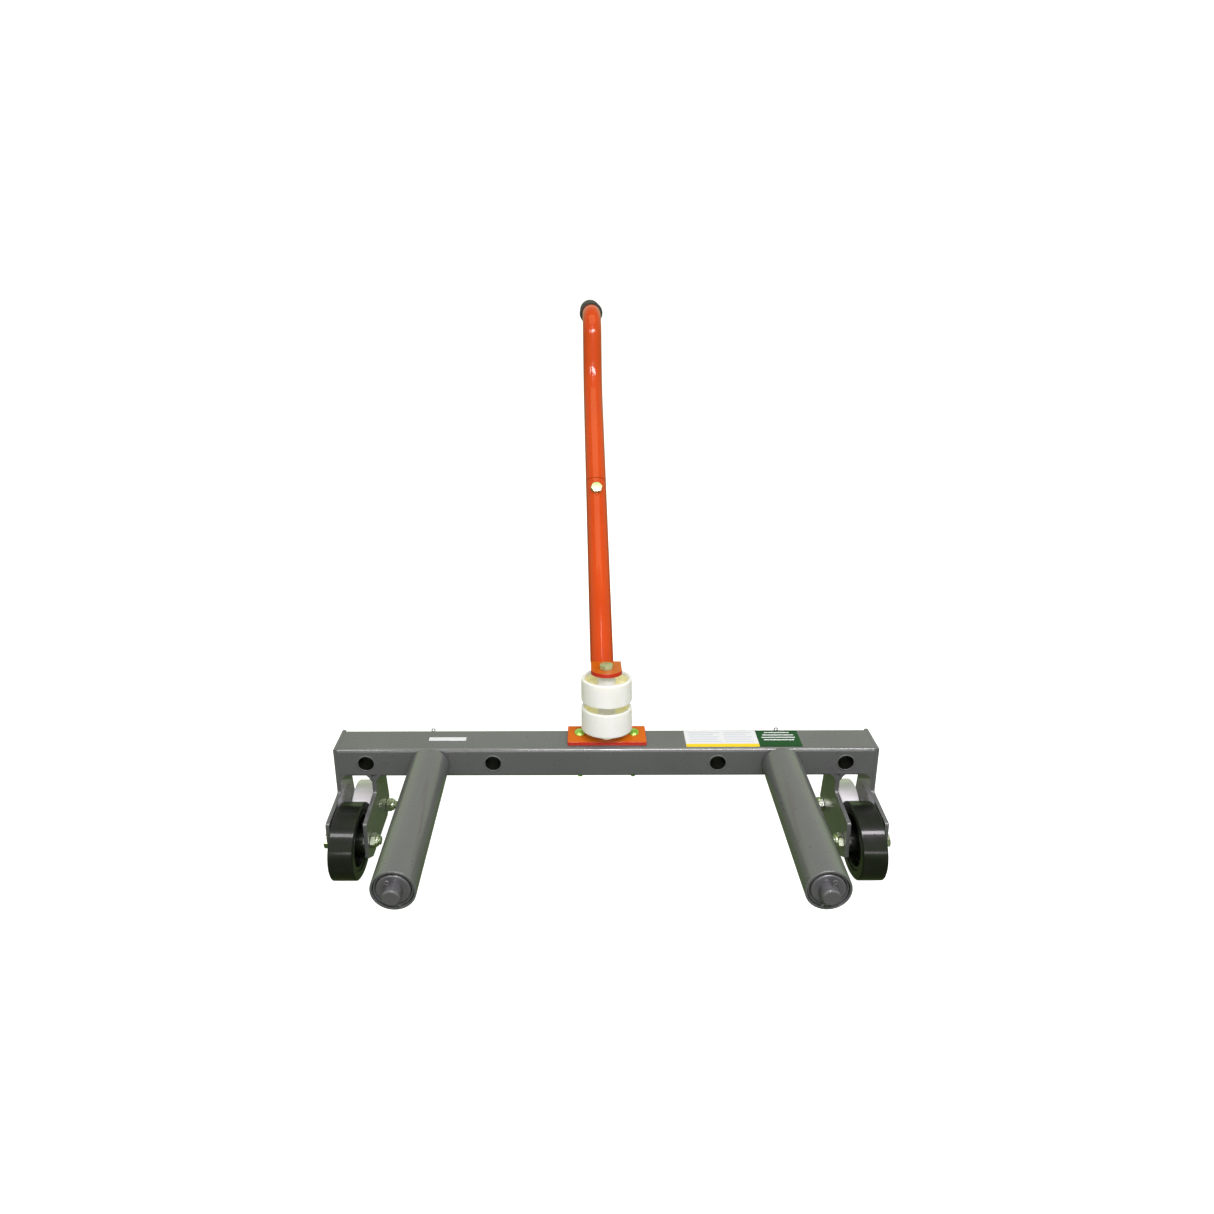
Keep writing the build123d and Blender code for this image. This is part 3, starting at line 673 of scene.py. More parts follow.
def make_leg_welds():
    """Rippled concave beads where the leg plates meet the underside of the crossbeam."""
    beam_low, beam_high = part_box("crossbeam")
    start = beam_low.y + 0.5 * MM
    end = beam_high.y - 0.5 * MM
    ripple = 2.2 * MM
    rows = 4 * int((end - start) / ripple)
    steps = 8
    welds = Solid()
    for name, side in SIDES:
        inner_low, inner_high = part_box(f"{name}_inner_leg")
        outer_low, outer_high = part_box(f"{name}_outer_leg")
        near_outer = outer_low.x if side > 0 else outer_high.x
        for x, away in ((inner_low.x, -1), (inner_high.x, 1), (near_outer, -side)):
            rings = []
            for row in range(rows + 1):
                y = start + (end - start) * row / rows
                to_edge = min(y - beam_low.y, beam_high.y - y, BEAM_CORNER)
                rise = BEAM_CORNER - (BEAM_CORNER ** 2 - (BEAM_CORNER - to_edge) ** 2) ** 0.5
                size = WELD_LEG * (1 + 0.05 * cos(2 * pi * (y - start) / ripple))
                section = [Vector((0, rise))]
                for step in range(steps + 1):
                    angle = pi / 2 * step / steps
                    bulge = 1 - WELD_HOLLOW * sin(2 * angle)
                    drop = rise * cos(angle) - size * sin(angle) * bulge
                    section.append(Vector((size * cos(angle) * bulge, drop)))
                rings.append([Vector((x + away * p.x, y, beam_low.z + p.y)) for p in section])
            tips = [[sum(ring, Vector()) / len(ring)] for ring in (rings[0], rings[-1])]
            welds.shell([tips[0]] + rings + [tips[1]])
    welds.finish("leg_weld_beads", "frame", "grey_paint", [grey_paint], ["leg_welds"])


# ---------------------------------------------------------------- fasteners

def bar_profile(radius, start, end, chamfer, thread_from=None, pitch=2 * MM):
    """Profile of a round bar, with thread ridges from one place to its end."""
    points = [(0, start), (radius, start)]
    if thread_from is not None:
        depth = pitch * 0.55
        along = thread_from
        while along + pitch < end - chamfer:
            points += [
                (radius, along),
                (radius, along + pitch * 0.15),
                (radius - depth, along + pitch * 0.55),
                (radius - depth, along + pitch * 0.65),
            ]
            along += pitch
    return points + [(radius, end - chamfer), (radius - chamfer, end), (0, end)]


def hex_head(solid, place, base, turn):
    """Hexagonal bolt head on a round washer face."""
    face_r, face_top = M16_FLATS * 0.47, base + 1 * MM
    solid.hexagon(place, base + 0.6 * MM, base + M16_HEAD, M16_FLATS, 0, turn)
    face = ((0, base), (face_r, base), (face_r, face_top), (0, face_top))
    solid.turned(place, face, closed=False)


def lock_nut(solid, place, start, end, turn):
    """Hexagonal nut with a round collar that grips a nylon ring."""
    collar = (end - start) * 0.28
    solid.hexagon(place, start, end - collar, M16_FLATS, M16_R, turn, chamfer_start=True)
    outline = (
        (M16_R + 0.2 * MM, end - collar - 1 * MM),
        (M16_FLATS * 0.44, end - collar - 1 * MM),
        (M16_FLATS * 0.44, end, 1.8 * MM),
        (M16_R + 0.2 * MM, end, 0.6 * MM),
    )
    solid.turned(place, rounded(outline))


def make_axle_hardware(name, side):
    """Hex bolts with washer faces and threaded ends, locking nuts, and spacer washers."""
    bolts_low, bolts_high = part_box(f"{name}_axle_bolts")
    nuts_low, nuts_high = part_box(f"{name}_axle_nuts")
    head_out = bolts_high.x if side > 0 else -bolts_low.x
    end = -bolts_low.x if side > 0 else bolts_high.x
    nut_out = nuts_low.x if side > 0 else -nuts_high.x
    nut_in = nuts_high.x if side > 0 else -nuts_low.x
    bolts = Solid()
    nuts = Solid()
    for index, end_name in enumerate(("front", "rear")):
        axle = joints[f"{name}_{end_name}_wheel_spin"]["pos_m"]
        outwards = basis((0, axle[1], axle[2]), X * side, Y)
        inwards = basis((0, axle[1], axle[2]), X * -side, Y)
        hex_head(bolts, outwards, head_out - M16_HEAD, 0.3 + index)
        shank = bar_profile(M16_R - 0.1 * MM, -(head_out - 1 * MM), end, 1.2 * MM, -nut_out - 2 * MM)
        bolts.turned(inwards, shank, closed=False, segments=SEGMENTS // 2)
        lock_nut(nuts, inwards, -nut_in, -nut_out, 0.9 - 0.5 * index)
    bolts.finish(f"{name}_axle_hex_bolts", "frame", "zinc", [bright_zinc], [f"{name}_axle_bolts"])
    nuts.finish(f"{name}_axle_lock_nuts", "frame", "zinc", [bright_zinc], [f"{name}_axle_nuts"])


def make_joint_hardware():
    """Hex bolt and nut of the handle's joint."""
    foot, direction = handle_line()
    front = basis(foot + direction * JOINT_BOLT, ACROSS_HANDLE.cross(direction), ACROSS_HANDLE)
    back = front @ Matrix.Rotation(pi, 4, "X")
    nut_height = 15.5 * MM
    tail = 3 * MM
    bolt = Solid()
    hex_head(bolt, front, HANDLE_R, 0.12)
    end = HANDLE_R + nut_height + tail
    bolt.turned(back, bar_profile(M16_R - 0.1 * MM, -HANDLE_R, end, 1.2 * MM, HANDLE_R), closed=False)
    bolt.finish("handle_joint_bolt", "frame", "zinc", [green_zinc], ["joint_bolt"])
    nut = Solid()
    lock_nut(nut, back, HANDLE_R, HANDLE_R + nut_height, 0.4)
    nut.finish("handle_joint_nut", "frame", "zinc", [bright_zinc], ["joint_nut"])


def make_base_hardware():
    """Domed carriage bolts, and their washers and nuts under the crossbeam."""
    head_low, head_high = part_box("base_carriage_bolts")
    washer_low, washer_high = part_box("base_washers")
    nut_low, nut_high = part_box("base_nuts")
    plate_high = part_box("handle_base_plate")[1]
    head_r = (head_high.y - head_low.y) / 2
    shank_r = 5 * MM
    bolts, washers, nuts = Solid(), Solid(), Solid()
    for x in (head_low.x + head_r, head_high.x - head_r):
        y = middle("base_carriage_bolts").y
        place = basis((x, y, 0), Z, X)
        dome = [(0, plate_high.z), (head_r, plate_high.z)]
        for step in range(13):
            angle = pi / 2 * step / 12
            rise = 0.8 * MM + (head_high.z - plate_high.z - 0.8 * MM) * sin(angle)
            dome.append((head_r * cos(angle), plate_high.z + rise))
        bolts.turned(place, dome, closed=False)
        down = basis((x, y, 0), -Z, X)
        shank = bar_profile(shank_r, -plate_high.z, -head_low.z, 0.8 * MM, -nut_high.z, 1.5 * MM)
        bolts.turned(down, shank, closed=False, segments=SEGMENTS // 2)
        outer_r = (washer_high.y - washer_low.y) / 2
        ring = ring_profile(shank_r + 0.3 * MM, outer_r, washer_low.z, washer_high.z, 0.2 * MM, 0.4 * MM)
        washers.turned(place, ring)
        nuts.hexagon(down, -nut_high.z, -nut_low.z, 17 * MM, shank_r, 0.2 + x, chamfer_start=True)
    bolts.finish("base_domed_bolts", "frame", "zinc", [yellow_zinc], ["base_carriage_bolts"])
    washers.finish("base_flat_washers", "frame", "zinc", [bright_zinc], ["base_washers"])
    nuts.finish("base_hex_nuts", "frame", "zinc", [bright_zinc], ["base_nuts"])


# ---------------------------------------------------------------- wheels

def make_front_wheel(name):
    """Tread with a crisp shoulder, and a moulded centre with a deep recess round its hub."""
    low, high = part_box(f"{name}_front_tyre")
    place = joint_basis(f"{name}_front_wheel_spin")
    radius = (high.z - low.z) / 2
    half = (high.x - low.x) / 2
    rim = 53 * MM
    outline = (
        (rim, -half + 1.5 * MM),
        (rim + 2 * MM, -half, 0.6 * MM),
        (radius - 3.2 * MM, -half, 2.0 * MM),
        (radius, -half + 2.2 * MM, 1.4 * MM),
        (radius, half - 2.2 * MM, 1.4 * MM),
        (radius - 3.2 * MM, half, 2.0 * MM),
        (rim + 2 * MM, half, 0.6 * MM),
        (rim, half - 1.5 * MM),
    )
    tyre = Solid()
    tyre.turned(place, rounded(outline), segments=2 * SEGMENTS)
    body = f"{name}_front_wheel_body"
    tyre.finish(f"{name}_front_tread", body, "black_wheel", [black_wheel], [f"{name}_front_tyre"])
    hub_low, hub_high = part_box(f"{name}_front_wheel_centre")
    hub_half = (hub_high.x - hub_low.x) / 2
    centre = Solid()
    centre.turned(place, hub_and_rim(
        hub_r=20 * MM,
        hub_half=hub_half,
        rim_inner=46 * MM,
        rim_outer=rim + 0.2 * MM,
        rim_half=21 * MM,
    ))
    centre.finish(f"{name}_front_centre", body, "black_wheel", [black_wheel], [f"{name}_front_wheel_centre"])


def hub_and_rim(hub_r, hub_half, rim_inner, rim_outer, rim_half):
    """Profile of a wheel centre: hub, thin web and rim, with moulded roundings."""
    soft = 1.2 * MM
    web_half = 7 * MM
    web_soft = 3 * MM
    right = [
        (BEARING_R, hub_half, 0.5 * MM),
        (hub_r, hub_half, soft),
        (hub_r + 2 * MM, web_half, web_soft),
        (rim_inner - 2 * MM, web_half, web_soft),
        (rim_inner, rim_half, soft),
        (rim_outer, rim_half, 2.2 * MM),
    ]
    left = [(radius, -along, soften) for radius, along, soften in reversed(right)]
    return rounded(right + left)


def make_rear_wheel(name):
    """One-piece nylon wheel."""
    low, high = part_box(f"{name}_rear_wheel")
    place = joint_basis(f"{name}_rear_wheel_spin")
    wheel = Solid()
    profile = hub_and_rim(
        hub_r=19 * MM,
        hub_half=(high.x - low.x) / 2,
        rim_inner=41 * MM,
        rim_outer=(high.z - low.z) / 2,
        rim_half=22.5 * MM,
    )
    wheel.turned(place, profile, segments=2 * SEGMENTS)
    wheel.finish(
        f"{name}_rear_nylon_wheel",
        f"{name}_rear_wheel_body",
        "white_nylon",
        [white_nylon],
        [f"{name}_rear_wheel"],
    )


def make_guide_wheel(name):
    """Nylon guide wheel: round-edged rim, web and hub; its recess walls get a yellower copy of the nylon
    with a stronger painted glow, as painted light.
    """
    place = joint_basis(f"{name}_guide_spin", X)
    radius = 50.8 * MM
    wall = 7 * MM
    rim_half = 23 * MM
    hub_half = 28.15 * MM
    web_half = 5 * MM
    hub_r = 17.5 * MM
    soft = 2.4 * MM
    outside = rounded((
        (radius - wall, -rim_half + 6 * MM),
        (radius - wall, -rim_half, soft),
        (radius, -rim_half, soft),
        (radius, rim_half, soft),
        (radius - wall, rim_half, soft),
        (radius - wall, rim_half - 6 * MM),
    ), closed=False)
    upper = rounded((
        (radius - wall, rim_half - 6 * MM),
        (radius - wall - 0.5 * MM, web_half, 2.5 * MM),
        (hub_r + 0.6 * MM, web_half, 2.5 * MM),
        (hub_r, hub_half - 4 * MM),
    ), closed=False)
    hub = rounded((
        (hub_r, hub_half - 4 * MM),
        (hub_r, hub_half, 1.0 * MM),
        (SPINDLE_R + 0.1 * MM, hub_half, 0.5 * MM),
        (SPINDLE_R + 0.1 * MM, 0),
    ), closed=False)
    lower = [Vector((point.x, -point.y)) for point in reversed(upper)]
    lower_hub = [Vector((point.x, -point.y)) for point in reversed(hub)]
    profile = outside[:-1] + upper[:-1] + hub[:-1] + lower_hub[:-1] + lower[:-1]

    # Faces in the recess get the yellower nylon with the stronger painted glow
    def in_recess(point):
        return hub_r + 1 * MM < point.x < radius - wall + 0.1 * MM and abs(point.y) < rim_half - soft

    wheel = Solid()
    wheel.turned(place, profile, segments=2 * SEGMENTS, kinds=[int(in_recess(point)) for point in profile])
    wheel.finish(
        f"{name}_guide_roller",
        joints[f"{name}_guide_spin"]["child"],
        "white_nylon",
        [white_nylon, glowing_recess_nylon],
        [f"{name}_guide_wheel"],
    )


# ---------------------------------------------------------------- forks

def make_fork_shaft(name):
    """Solid shaft with chamfered ends."""
    low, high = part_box(f"{name}_fork_shaft")
    radius = (high.x - low.x) / 2
    place = basis((middle(f"{name}_fork_shaft").x, low.y, middle(f"{name}_fork_shaft").z), Y, Z)
    length = high.y - low.y
    chamfer = 2.2 * MM
    profile = rounded((
        (0, 0),
        (radius - chamfer, 0, 0.6 * MM),
        (radius, chamfer, 0.6 * MM),
        (radius, length - chamfer, 0.6 * MM),
        (radius - chamfer, length, 0.6 * MM),
        (0, length),
    ), closed=False)
    shaft = Solid()
    shaft.turned(place, profile, closed=False)
    shaft.finish(f"{name}_fork_bar", "frame", "shaft_paint", [shaft_paint], [f"{name}_fork_shaft"])


def make_roller(name):
    """Roller tube with dressed ends, and its two end discs with a raised lip. The discs' front faces, down
    in the grooves round the lip, are painted near black as painted shade.
    """
    low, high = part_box(f"{name}_roller_tube")
    centre = middle(f"{name}_roller_tube")
    radius = (high.x - low.x) / 2
    wall = 4 * MM
    place = basis((centre.x, low.y, centre.z), Y, Z)
    length = high.y - low.y
    tube = Solid()
    profile = ring_profile(radius - wall, radius, 0, length, 0.8 * MM, 1.4 * MM)
    tube.turned(place, profile, segments=2 * SEGMENTS)
    body = f"{name}_roller"
    tube.finish(f"{name}_roller_sleeve", body, "grey_paint", [grey_paint], [f"{name}_roller_tube"])
    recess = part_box(f"{name}_roller_discs")[0].y - low.y
    thick = 8 * MM
    lip = 2.6 * MM
    bore = 19 * MM
    discs = Solid()
    for start, sign in ((recess, 1), (length - recess, -1)):
        outline = (
            (bore, 0, 0.4 * MM),
            (radius - wall - 4.2 * MM, 0, 1.0 * MM),
            (radius - wall - 3.2 * MM, -lip, 0.6 * MM),
            (radius - wall - 1.4 * MM, -lip, 0.7 * MM),
            (radius - wall - 1.2 * MM, 0),
            (radius - wall, 0),
            (radius - wall, thick),
            (bore, thick),
        )
        points = rounded(outline)
        profile = [(point.x, start + sign * point.y) for point in points]
        turns = zip(points, points[1:] + points[:1])
        # Faces on the discs' front, in the grooves, get the near-black painted shade
        in_shade = [int(max(abs(here.y), abs(there.y)) < 0.1 * MM) for here, there in turns]
        discs.turned(place, profile, kinds=in_shade)
    materials = [grey_paint, painted_shade_black]
    discs.finish(f"{name}_roller_end_discs", body, "grey_paint", materials, [f"{name}_roller_discs"])


def make_fork_washers(name):
    """Wide round-shouldered washer in the roller's mouth, and a plain one each side of the beam."""
    low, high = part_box(f"{name}_fork_washers")
    centre = middle(f"{name}_fork_washers")
    beam_low, beam_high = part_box("crossbeam")
    place = basis((centre.x, 0, centre.z), Y, Z)
    cap_r = (high.x - low.x) / 2
    cap = 4 * MM
    bore = 15.1 * MM
    washers = Solid()
    washers.turned(place, rounded((
        (bore, low.y + 0.6 * MM, 0.4 * MM),
        (cap_r - 6.5 * MM, low.y + 0.4 * MM),
        (cap_r - 5 * MM, low.y, 1.0 * MM),
        (cap_r, low.y, 2.6 * MM),
        (cap_r, low.y + cap, 0.4 * MM),
        (bore, low.y + cap),
    )))
    plain_r = 23 * MM
    thick = 3 * MM
    for start in (beam_low.y - thick, beam_high.y):
        washers.turned(place, ring_profile(bore, plain_r, start, start + thick, 0.3 * MM, 0.7 * MM))
    piece_name = f"{name}_fork_flat_washers"
    washers.finish(piece_name, "frame", "shaft_paint", [shaft_paint], [f"{name}_fork_washers"])


def cotter_path(length):
    """Centre of a split pin's wire as (across, along): tail, leg, eye, leg, tail."""
    gap = 1.15 * MM
    eye_r = 3.3 * MM
    top = length / 2 - eye_r - 1.2 * MM
    tail = -length / 2 + 1.5 * MM
    neck = top - eye_r - 1.8 * MM
    splay = [(gap + 3.6 * MM, tail), (gap + 1.7 * MM, tail + 2.4 * MM)]
    right = splay + [(gap, tail + 6 * MM), (gap, neck)]
    eye = []
    for step in range(17):
        angle = radians(-62 + 304 * step / 16)
        eye.append((eye_r * cos(angle), top + eye_r * sin(angle)))
    left = [(-across, along) for across, along in reversed(right)]
    return right + eye + left


def make_fork_pins(name, side):
    """Split pins through both ends of a fork shaft, each bent from one half-round wire."""
    low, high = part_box(f"{name}_fork_pins")
    centre = middle(f"{name}_fork_shaft")
    tilt = radians(17)
    pin_r = 2.5 * MM
    along_pin = Vector((side * sin(tilt), 0, cos(tilt)))
    across_pin = Vector((cos(tilt), 0, -side * sin(tilt)))
    pins = Solid()
    for y in (low.y + pin_r, high.y - pin_r):
        origin = Vector((centre.x, y, centre.z))
        points = []
        for across, along in cotter_path(SPLIT_PIN):
            points.append(origin + across_pin * across + along_pin * along)
        path = []
        for index, point in enumerate(points):
            before = points[max(0, index - 1)]
            after = points[min(len(points) - 1, index + 1)]
            path.append((point, (after - before).normalized()))
        pins.tube(path, 1.15 * MM, Y, segments=16)
    pins.finish(f"{name}_fork_split_pins", "frame", "shaft_paint", [shaft_paint], [f"{name}_fork_pins"])


# ---------------------------------------------------------------- handle and its base

def make_base_plate():
    """Flat plate with slightly rounded corners and edges; its side edges get a darker red as painted shade.
    """
    low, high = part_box("handle_base_plate")
    plate = Solid()
    outline = box_outline(low, high, 2 * MM)
    plate.plate(basis((0, 0, low.z), Z, X), outline, high.z - low.z, 0.9 * MM, side_kind=1)
    materials = [orange_paint, side_shade_paint]
    plate.finish("base_flat_plate", "frame", "orange_paint", materials, ["handle_base_plate"])


def strap_basis():
    """Matrix on the strap's underside, with its origin on the spindle."""
    direction = Vector(joints["lower_guide_spin"]["axis"]).normalized()
    start = Vector(joints["lower_guide_spin"]["pos_m"])
    corners = [vertex.co - start for vertex in frame["nodes"]["handle_strap"].data.vertices]
    under = min(corner.dot(direction) for corner in corners)
    return joint_basis("lower_guide_spin", X) @ Matrix.Translation((0, 0, under))


def make_strap():
    """Flat strap with a round front, coped to the handle tube; its side edges get a darker red as painted
    shade.
    """
    shoulder, front = 10 * MM, 31.7 * MM
    radius = (STRAP_HALF ** 2 + (front - shoulder) ** 2) / (2 * (front - shoulder))
    centre = radius - front
    sweep = atan2(STRAP_HALF, centre + shoulder)
    outline = [Vector((STRAP_HALF, STRAP_BACK)), Vector((-STRAP_HALF, STRAP_BACK))]
    steps = 28
    for step in range(steps + 1):
        angle = sweep * (2 * step / steps - 1)
        outline.append(Vector((radius * sin(angle), centre - radius * cos(angle))))
    strap = Solid()
    strap.plate(strap_basis(), outline, PLATE, 0.9 * MM, side_kind=1)
    foot, direction = handle_line()
    cope = (basis(foot, direction, ACROSS_HANDLE), HANDLE_R - 0.05 * MM, 8 * HANDLE_R)
    mesh = cut_round(strap.mesh("strap_plate", [orange_paint, side_shade_paint]), [cope])
    finish_mesh("strap_plate", mesh, "frame", ["handle_strap"])


def make_guide_bolt():
    """Hex bolt on the strap, with a washer face under its head."""
    place = strap_basis()
    bolt = Solid()
    bolt.hexagon(place, PLATE + 0.6 * MM, PLATE + M16_HEAD, M16_FLATS, 0, 0.35)
    bolt.turned(place, bar_profile(M16_FLATS * 0.47, PLATE, PLATE + 1 * MM, 0.2 * MM), closed=False)
    bolt.turned(place, bar_profile(M16_R, -40 * MM, PLATE, 0.4 * MM), closed=False)
    bolt.finish("strap_hex_bolt", "frame", "zinc", [green_zinc], ["guide_bolt"])


def make_spindle():
    """Leaning post under the strap."""
    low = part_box("guide_spindle")[0]
    place = strap_basis()
    foot = place.inverted() @ Vector((place.translation.x, low.y + SPINDLE_R, low.z))
    spindle = Solid()
    spindle.turned(place, bar_profile(SPINDLE_R, foot.z + 5 * MM, 0, 0.5 * MM), closed=False)
    spindle.finish("spindle_post", "frame", "zinc", [steel], ["guide_spindle"])


def handle_line():
    """Foot of the handle's centreline, and its direction up the long straight."""
    beam_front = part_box("crossbeam")[0].y
    height = middle("crossbeam").z
    foot = Vector((-3.6 * MM, beam_front + FOOT_BEHIND * MM, height + FOOT_ABOVE * MM))
    run = BEHIND_HANDLE * (KNEE_BEHIND - FOOT_BEHIND) + Z * (KNEE_ABOVE - FOOT_ABOVE)
    return foot, run.normalized()


def handle_point(behind, above):
    """A point in the handle's upright plane, from distances in mm behind the beam and above it."""
    foot, _ = handle_line()
    return foot + BEHIND_HANDLE * (behind - FOOT_BEHIND) * MM + Z * (above - FOOT_ABOVE) * MM


def bent_path(points, radii, steps=28):
    """Points and directions along straight runs joined by tangent arcs."""
    path = [(points[0], (points[1] - points[0]).normalized())]
    for index, radius in enumerate(radii, start=1):
        corner = points[index]
        into = (corner - points[index - 1]).normalized()
        out = (points[index + 1] - corner).normalized()
        turn = into.angle(out)
        reach = radius * tan(turn / 2)
        axis = into.cross(out).normalized()
        start = corner - into * reach
        centre = start + axis.cross(into) * radius
        for step in range(steps + 1):
            rotation = Matrix.Rotation(turn * step / steps, 3, axis)
            path.append((centre + rotation @ (start - centre), rotation @ into))
    path.append((points[-1], (points[-1] - points[-2]).normalized()))
    return path


def make_handle_tubes():
    """Lower tube, mitred at its foot, and the bent upper tube, with a fine seam between them."""
    foot, direction = handle_line()
    seam = foot + direction * JOINT_SEAM
    half_gap = 0.35 * MM
    set_back = 1.2 * MM
    inner = HANDLE_R - HANDLE_WALL
    under = strap_basis()
    normal = under.to_3x3() @ Z

    def mitre(point, along):
        return point + along * (under.translation - point).dot(normal) / along.dot(normal)

    lower = Solid()
    top = seam - direction * set_back
    straight = [(foot + direction * 60 * MM * step, direction) for step in range(8)]
    lower.tube(straight + [(top, direction)], HANDLE_R, ACROSS_HANDLE, inner=inner, foot=mitre)
    lip_ring(lower, top, direction, set_back - half_gap)
    lower.finish("lower_handle_pipe", "frame", "red_paint", [red_paint], ["lower_handle_tube"])

    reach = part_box("grip")[1].y - 4 * MM - foot.y
    end = handle_point(FOOT_BEHIND + reach / MM, CROOK_ABOVE)
    knee = handle_point(KNEE_BEHIND, KNEE_ABOVE)
    crook = handle_point(CROOK_BEHIND, CROOK_ABOVE)
    upper = Solid()
    start = seam + direction * set_back
    path = bent_path([start, knee, crook, end], (KNEE_RADIUS, CROOK_RADIUS))
    upper.tube(path, HANDLE_R, ACROSS_HANDLE, inner=inner)
    lip_ring(upper, start, -direction, set_back - half_gap)
    upper.finish("upper_handle_pipe", "frame", "red_paint", [red_paint], ["upper_handle_tube"])


def lip_ring(solid, start, direction, length):
    """Rounded end of a tube wall, running on from a place."""
    place = basis(start, direction, ACROSS_HANDLE)
    inner = HANDLE_R - HANDLE_WALL
    solid.turned(place, rounded((
        (inner, -0.3 * MM),
        (HANDLE_R, -0.3 * MM),
        (HANDLE_R, length, 0.75 * MM),
        (inner, length, 0.4 * MM),
    )))


def make_strap_weld():
    """Rippled bead round the handle's foot, where the foot stands on the strap."""
    foot, direction = handle_line()
    top = strap_basis() @ Matrix.Translation((0, 0, PLATE))
    normal = top.to_3x3() @ Z
    up = direction.cross(ACROSS_HANDLE).normalized()
    count = 240
    ring = []
    for index in range(count):
        angle = 2 * pi * index / count
        point = foot + (ACROSS_HANDLE * cos(angle) + up * sin(angle)) * HANDLE_R
        point += direction * (top.translation - point).dot(normal) / direction.dot(normal)
        ring.append(point)
    to_strap = top.inverted()

    def on_strap(point):
        place = to_strap @ point
        return abs(place.x) < STRAP_HALF - 3 * MM and place.y < STRAP_BACK - 2 * MM

    stretches = []
    first = next(index for index in range(count) if not on_strap(ring[index]))
    for point in ring[first:] + ring[:first]:
        if not on_strap(point):
            stretches.append([])
        else:
            stretches[-1].append(point)
    bead = Solid()
    for stretch in stretches:
        if len(stretch) < 8:
            continue
        rings = []
        last = len(stretch) - 1
        for index, point in enumerate(stretch):
            along = (stretch[min(last, index + 1)] - stretch[max(0, index - 1)]).normalized()
            side = along.cross(normal).normalized()
            taper = min(1.0, 0.4 + min(index, last - index) / 6)
            size = (1.4 + 0.2 * cos(index * 2 * pi / 4)) * taper * MM
            rings.append([point + side * p.x + normal * p.y for p in circle(0, 0, size, 12)])
        bead.shell([[stretch[0]]] + rings + [[stretch[-1]]])
    bead.finish("strap_weld_bead", "frame", "orange_paint", [orange_paint])


def make_grip():
    """Closed rubber grip with a flange, shallow rings and a round end."""
    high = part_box("grip")[1]
    start = handle_point(0, CROOK_ABOVE)
    length = 115 * MM
    grip_r, flange_r, round_r = 28 * MM, 31 * MM, 4 * MM
    reach = (high.y - (grip_r - round_r) * sin(HANDLE_SWING) - start.y) / cos(HANDLE_SWING)
    place = basis(start + BEHIND_HANDLE * (reach - length), BEHIND_HANDLE, Z)
    points = [
        (HANDLE_R, 0, 0.6 * MM),
        (flange_r, 0, 2.0 * MM),
        (flange_r, 5 * MM, 1.6 * MM),
        (grip_r, 7 * MM, 1.5 * MM),
    ]
    groove = 0.8 * MM
    for step in range(9):
        along = (18 + 10 * step) * MM
        points += [
            (grip_r, along, 0.8 * MM),
            (grip_r - groove, along + 1.2 * MM, 0.6 * MM),
            (grip_r - groove, along + 3.2 * MM, 0.6 * MM),
            (grip_r, along + 4.4 * MM, 0.8 * MM),
        ]
    floor = length - 4 * MM
    points += [(grip_r, length, round_r), (0, length), (0, floor), (HANDLE_R, floor)]
    profile = rounded(points)
    axis_start = next(index for index, point in enumerate(profile) if point[0] == 0)
    ordered = profile[axis_start + 1:] + profile[:axis_start + 1]
    grip = Solid()
    grip.turned(place, ordered, closed=False)
    grip.finish("rubber_grip", "frame", "black_rubber", [black_rubber], ["grip"])


# ---------------------------------------------------------------- labels

def make_label(node, slot, stops, bars=(), bar_colour=(1, 1, 1)):
    """Thin plain label with rounded corners, in bands of colour, with plain printed bars."""
    low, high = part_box(node)
    label = Solid()
    base = basis((0, 0, low.z), Z, X)
    label.plate(base, box_outline(low, high, 0.8 * MM), high.z - low.z, 0.1 * MM)
    size = high - low
    ink = basis((0, 0, high.z - 0.02 * MM), Z, X)
    half_bar = 0.03
    for start, end, level in bars:
        left, right = low.x + size.x * start, low.x + size.x * end
        front, back = low.y + size.y * (level - half_bar), low.y + size.y * (level + half_bar)
        bar = [Vector(point) for point in ((left, front), (right, front), (right, back), (left, back))]
        label.plate(ink, bar, 0.04 * MM, 0.01 * MM, side_kind=1, cap_kind=1)
    bar_stops = ((0, bar_colour), (0.5, tint(bar_colour, 0.97)))
    materials = [
        film(f"{node}_film", stops, low.y, high.y),
        film(f"{node}_bars", bar_stops, low.y, high.y),
    ]
    label.finish(f"{node}_sticker", "frame", slot, materials, [node])


def keep_node(node, material):
    """Leave a CAD node showing, with a finished material."""
    for slot in frame["nodes"][node].material_slots:
        slot.material = material


# ---------------------------------------------------------------- build

make_crossbeam()
make_leg_welds()
for name, side in SIDES:
    make_sleeves(name)
    make_leg(name, "outer")
    make_leg(name, "inner")
    make_axle_hardware(name, side)
    make_front_wheel(name)
    make_rear_wheel(name)
    make_fork_shaft(name)
    make_roller(name)
    make_fork_washers(name)
    make_fork_pins(name, side)
    for part in ("axle_spacers", "front_bearing", "rear_bearing", "roller_bushings"):
        keep_node(f"{name}_{part}", steel)
make_base_plate()
make_base_hardware()
make_spindle()
make_guide_wheel("lower")
make_guide_wheel("upper")
make_strap()
make_strap_weld()
make_guide_bolt()
make_handle_tubes()
make_joint_hardware()
make_grip()
# Guide spacers get the nylon with the strongest painted glow
keep_node("guide_spacers", glowing_spacer_nylon)
keep_node("joint_sleeve", red_paint)

WHITE = (0.47, 0.465, 0.515)
PALE = (0.38, 0.38, 0.46)
YELLOW = (0.54, 0.38, 0.015)
GREEN = (0.003, 0.042, 0.009)
DEEP_GREEN = (0.002, 0.03, 0.007)
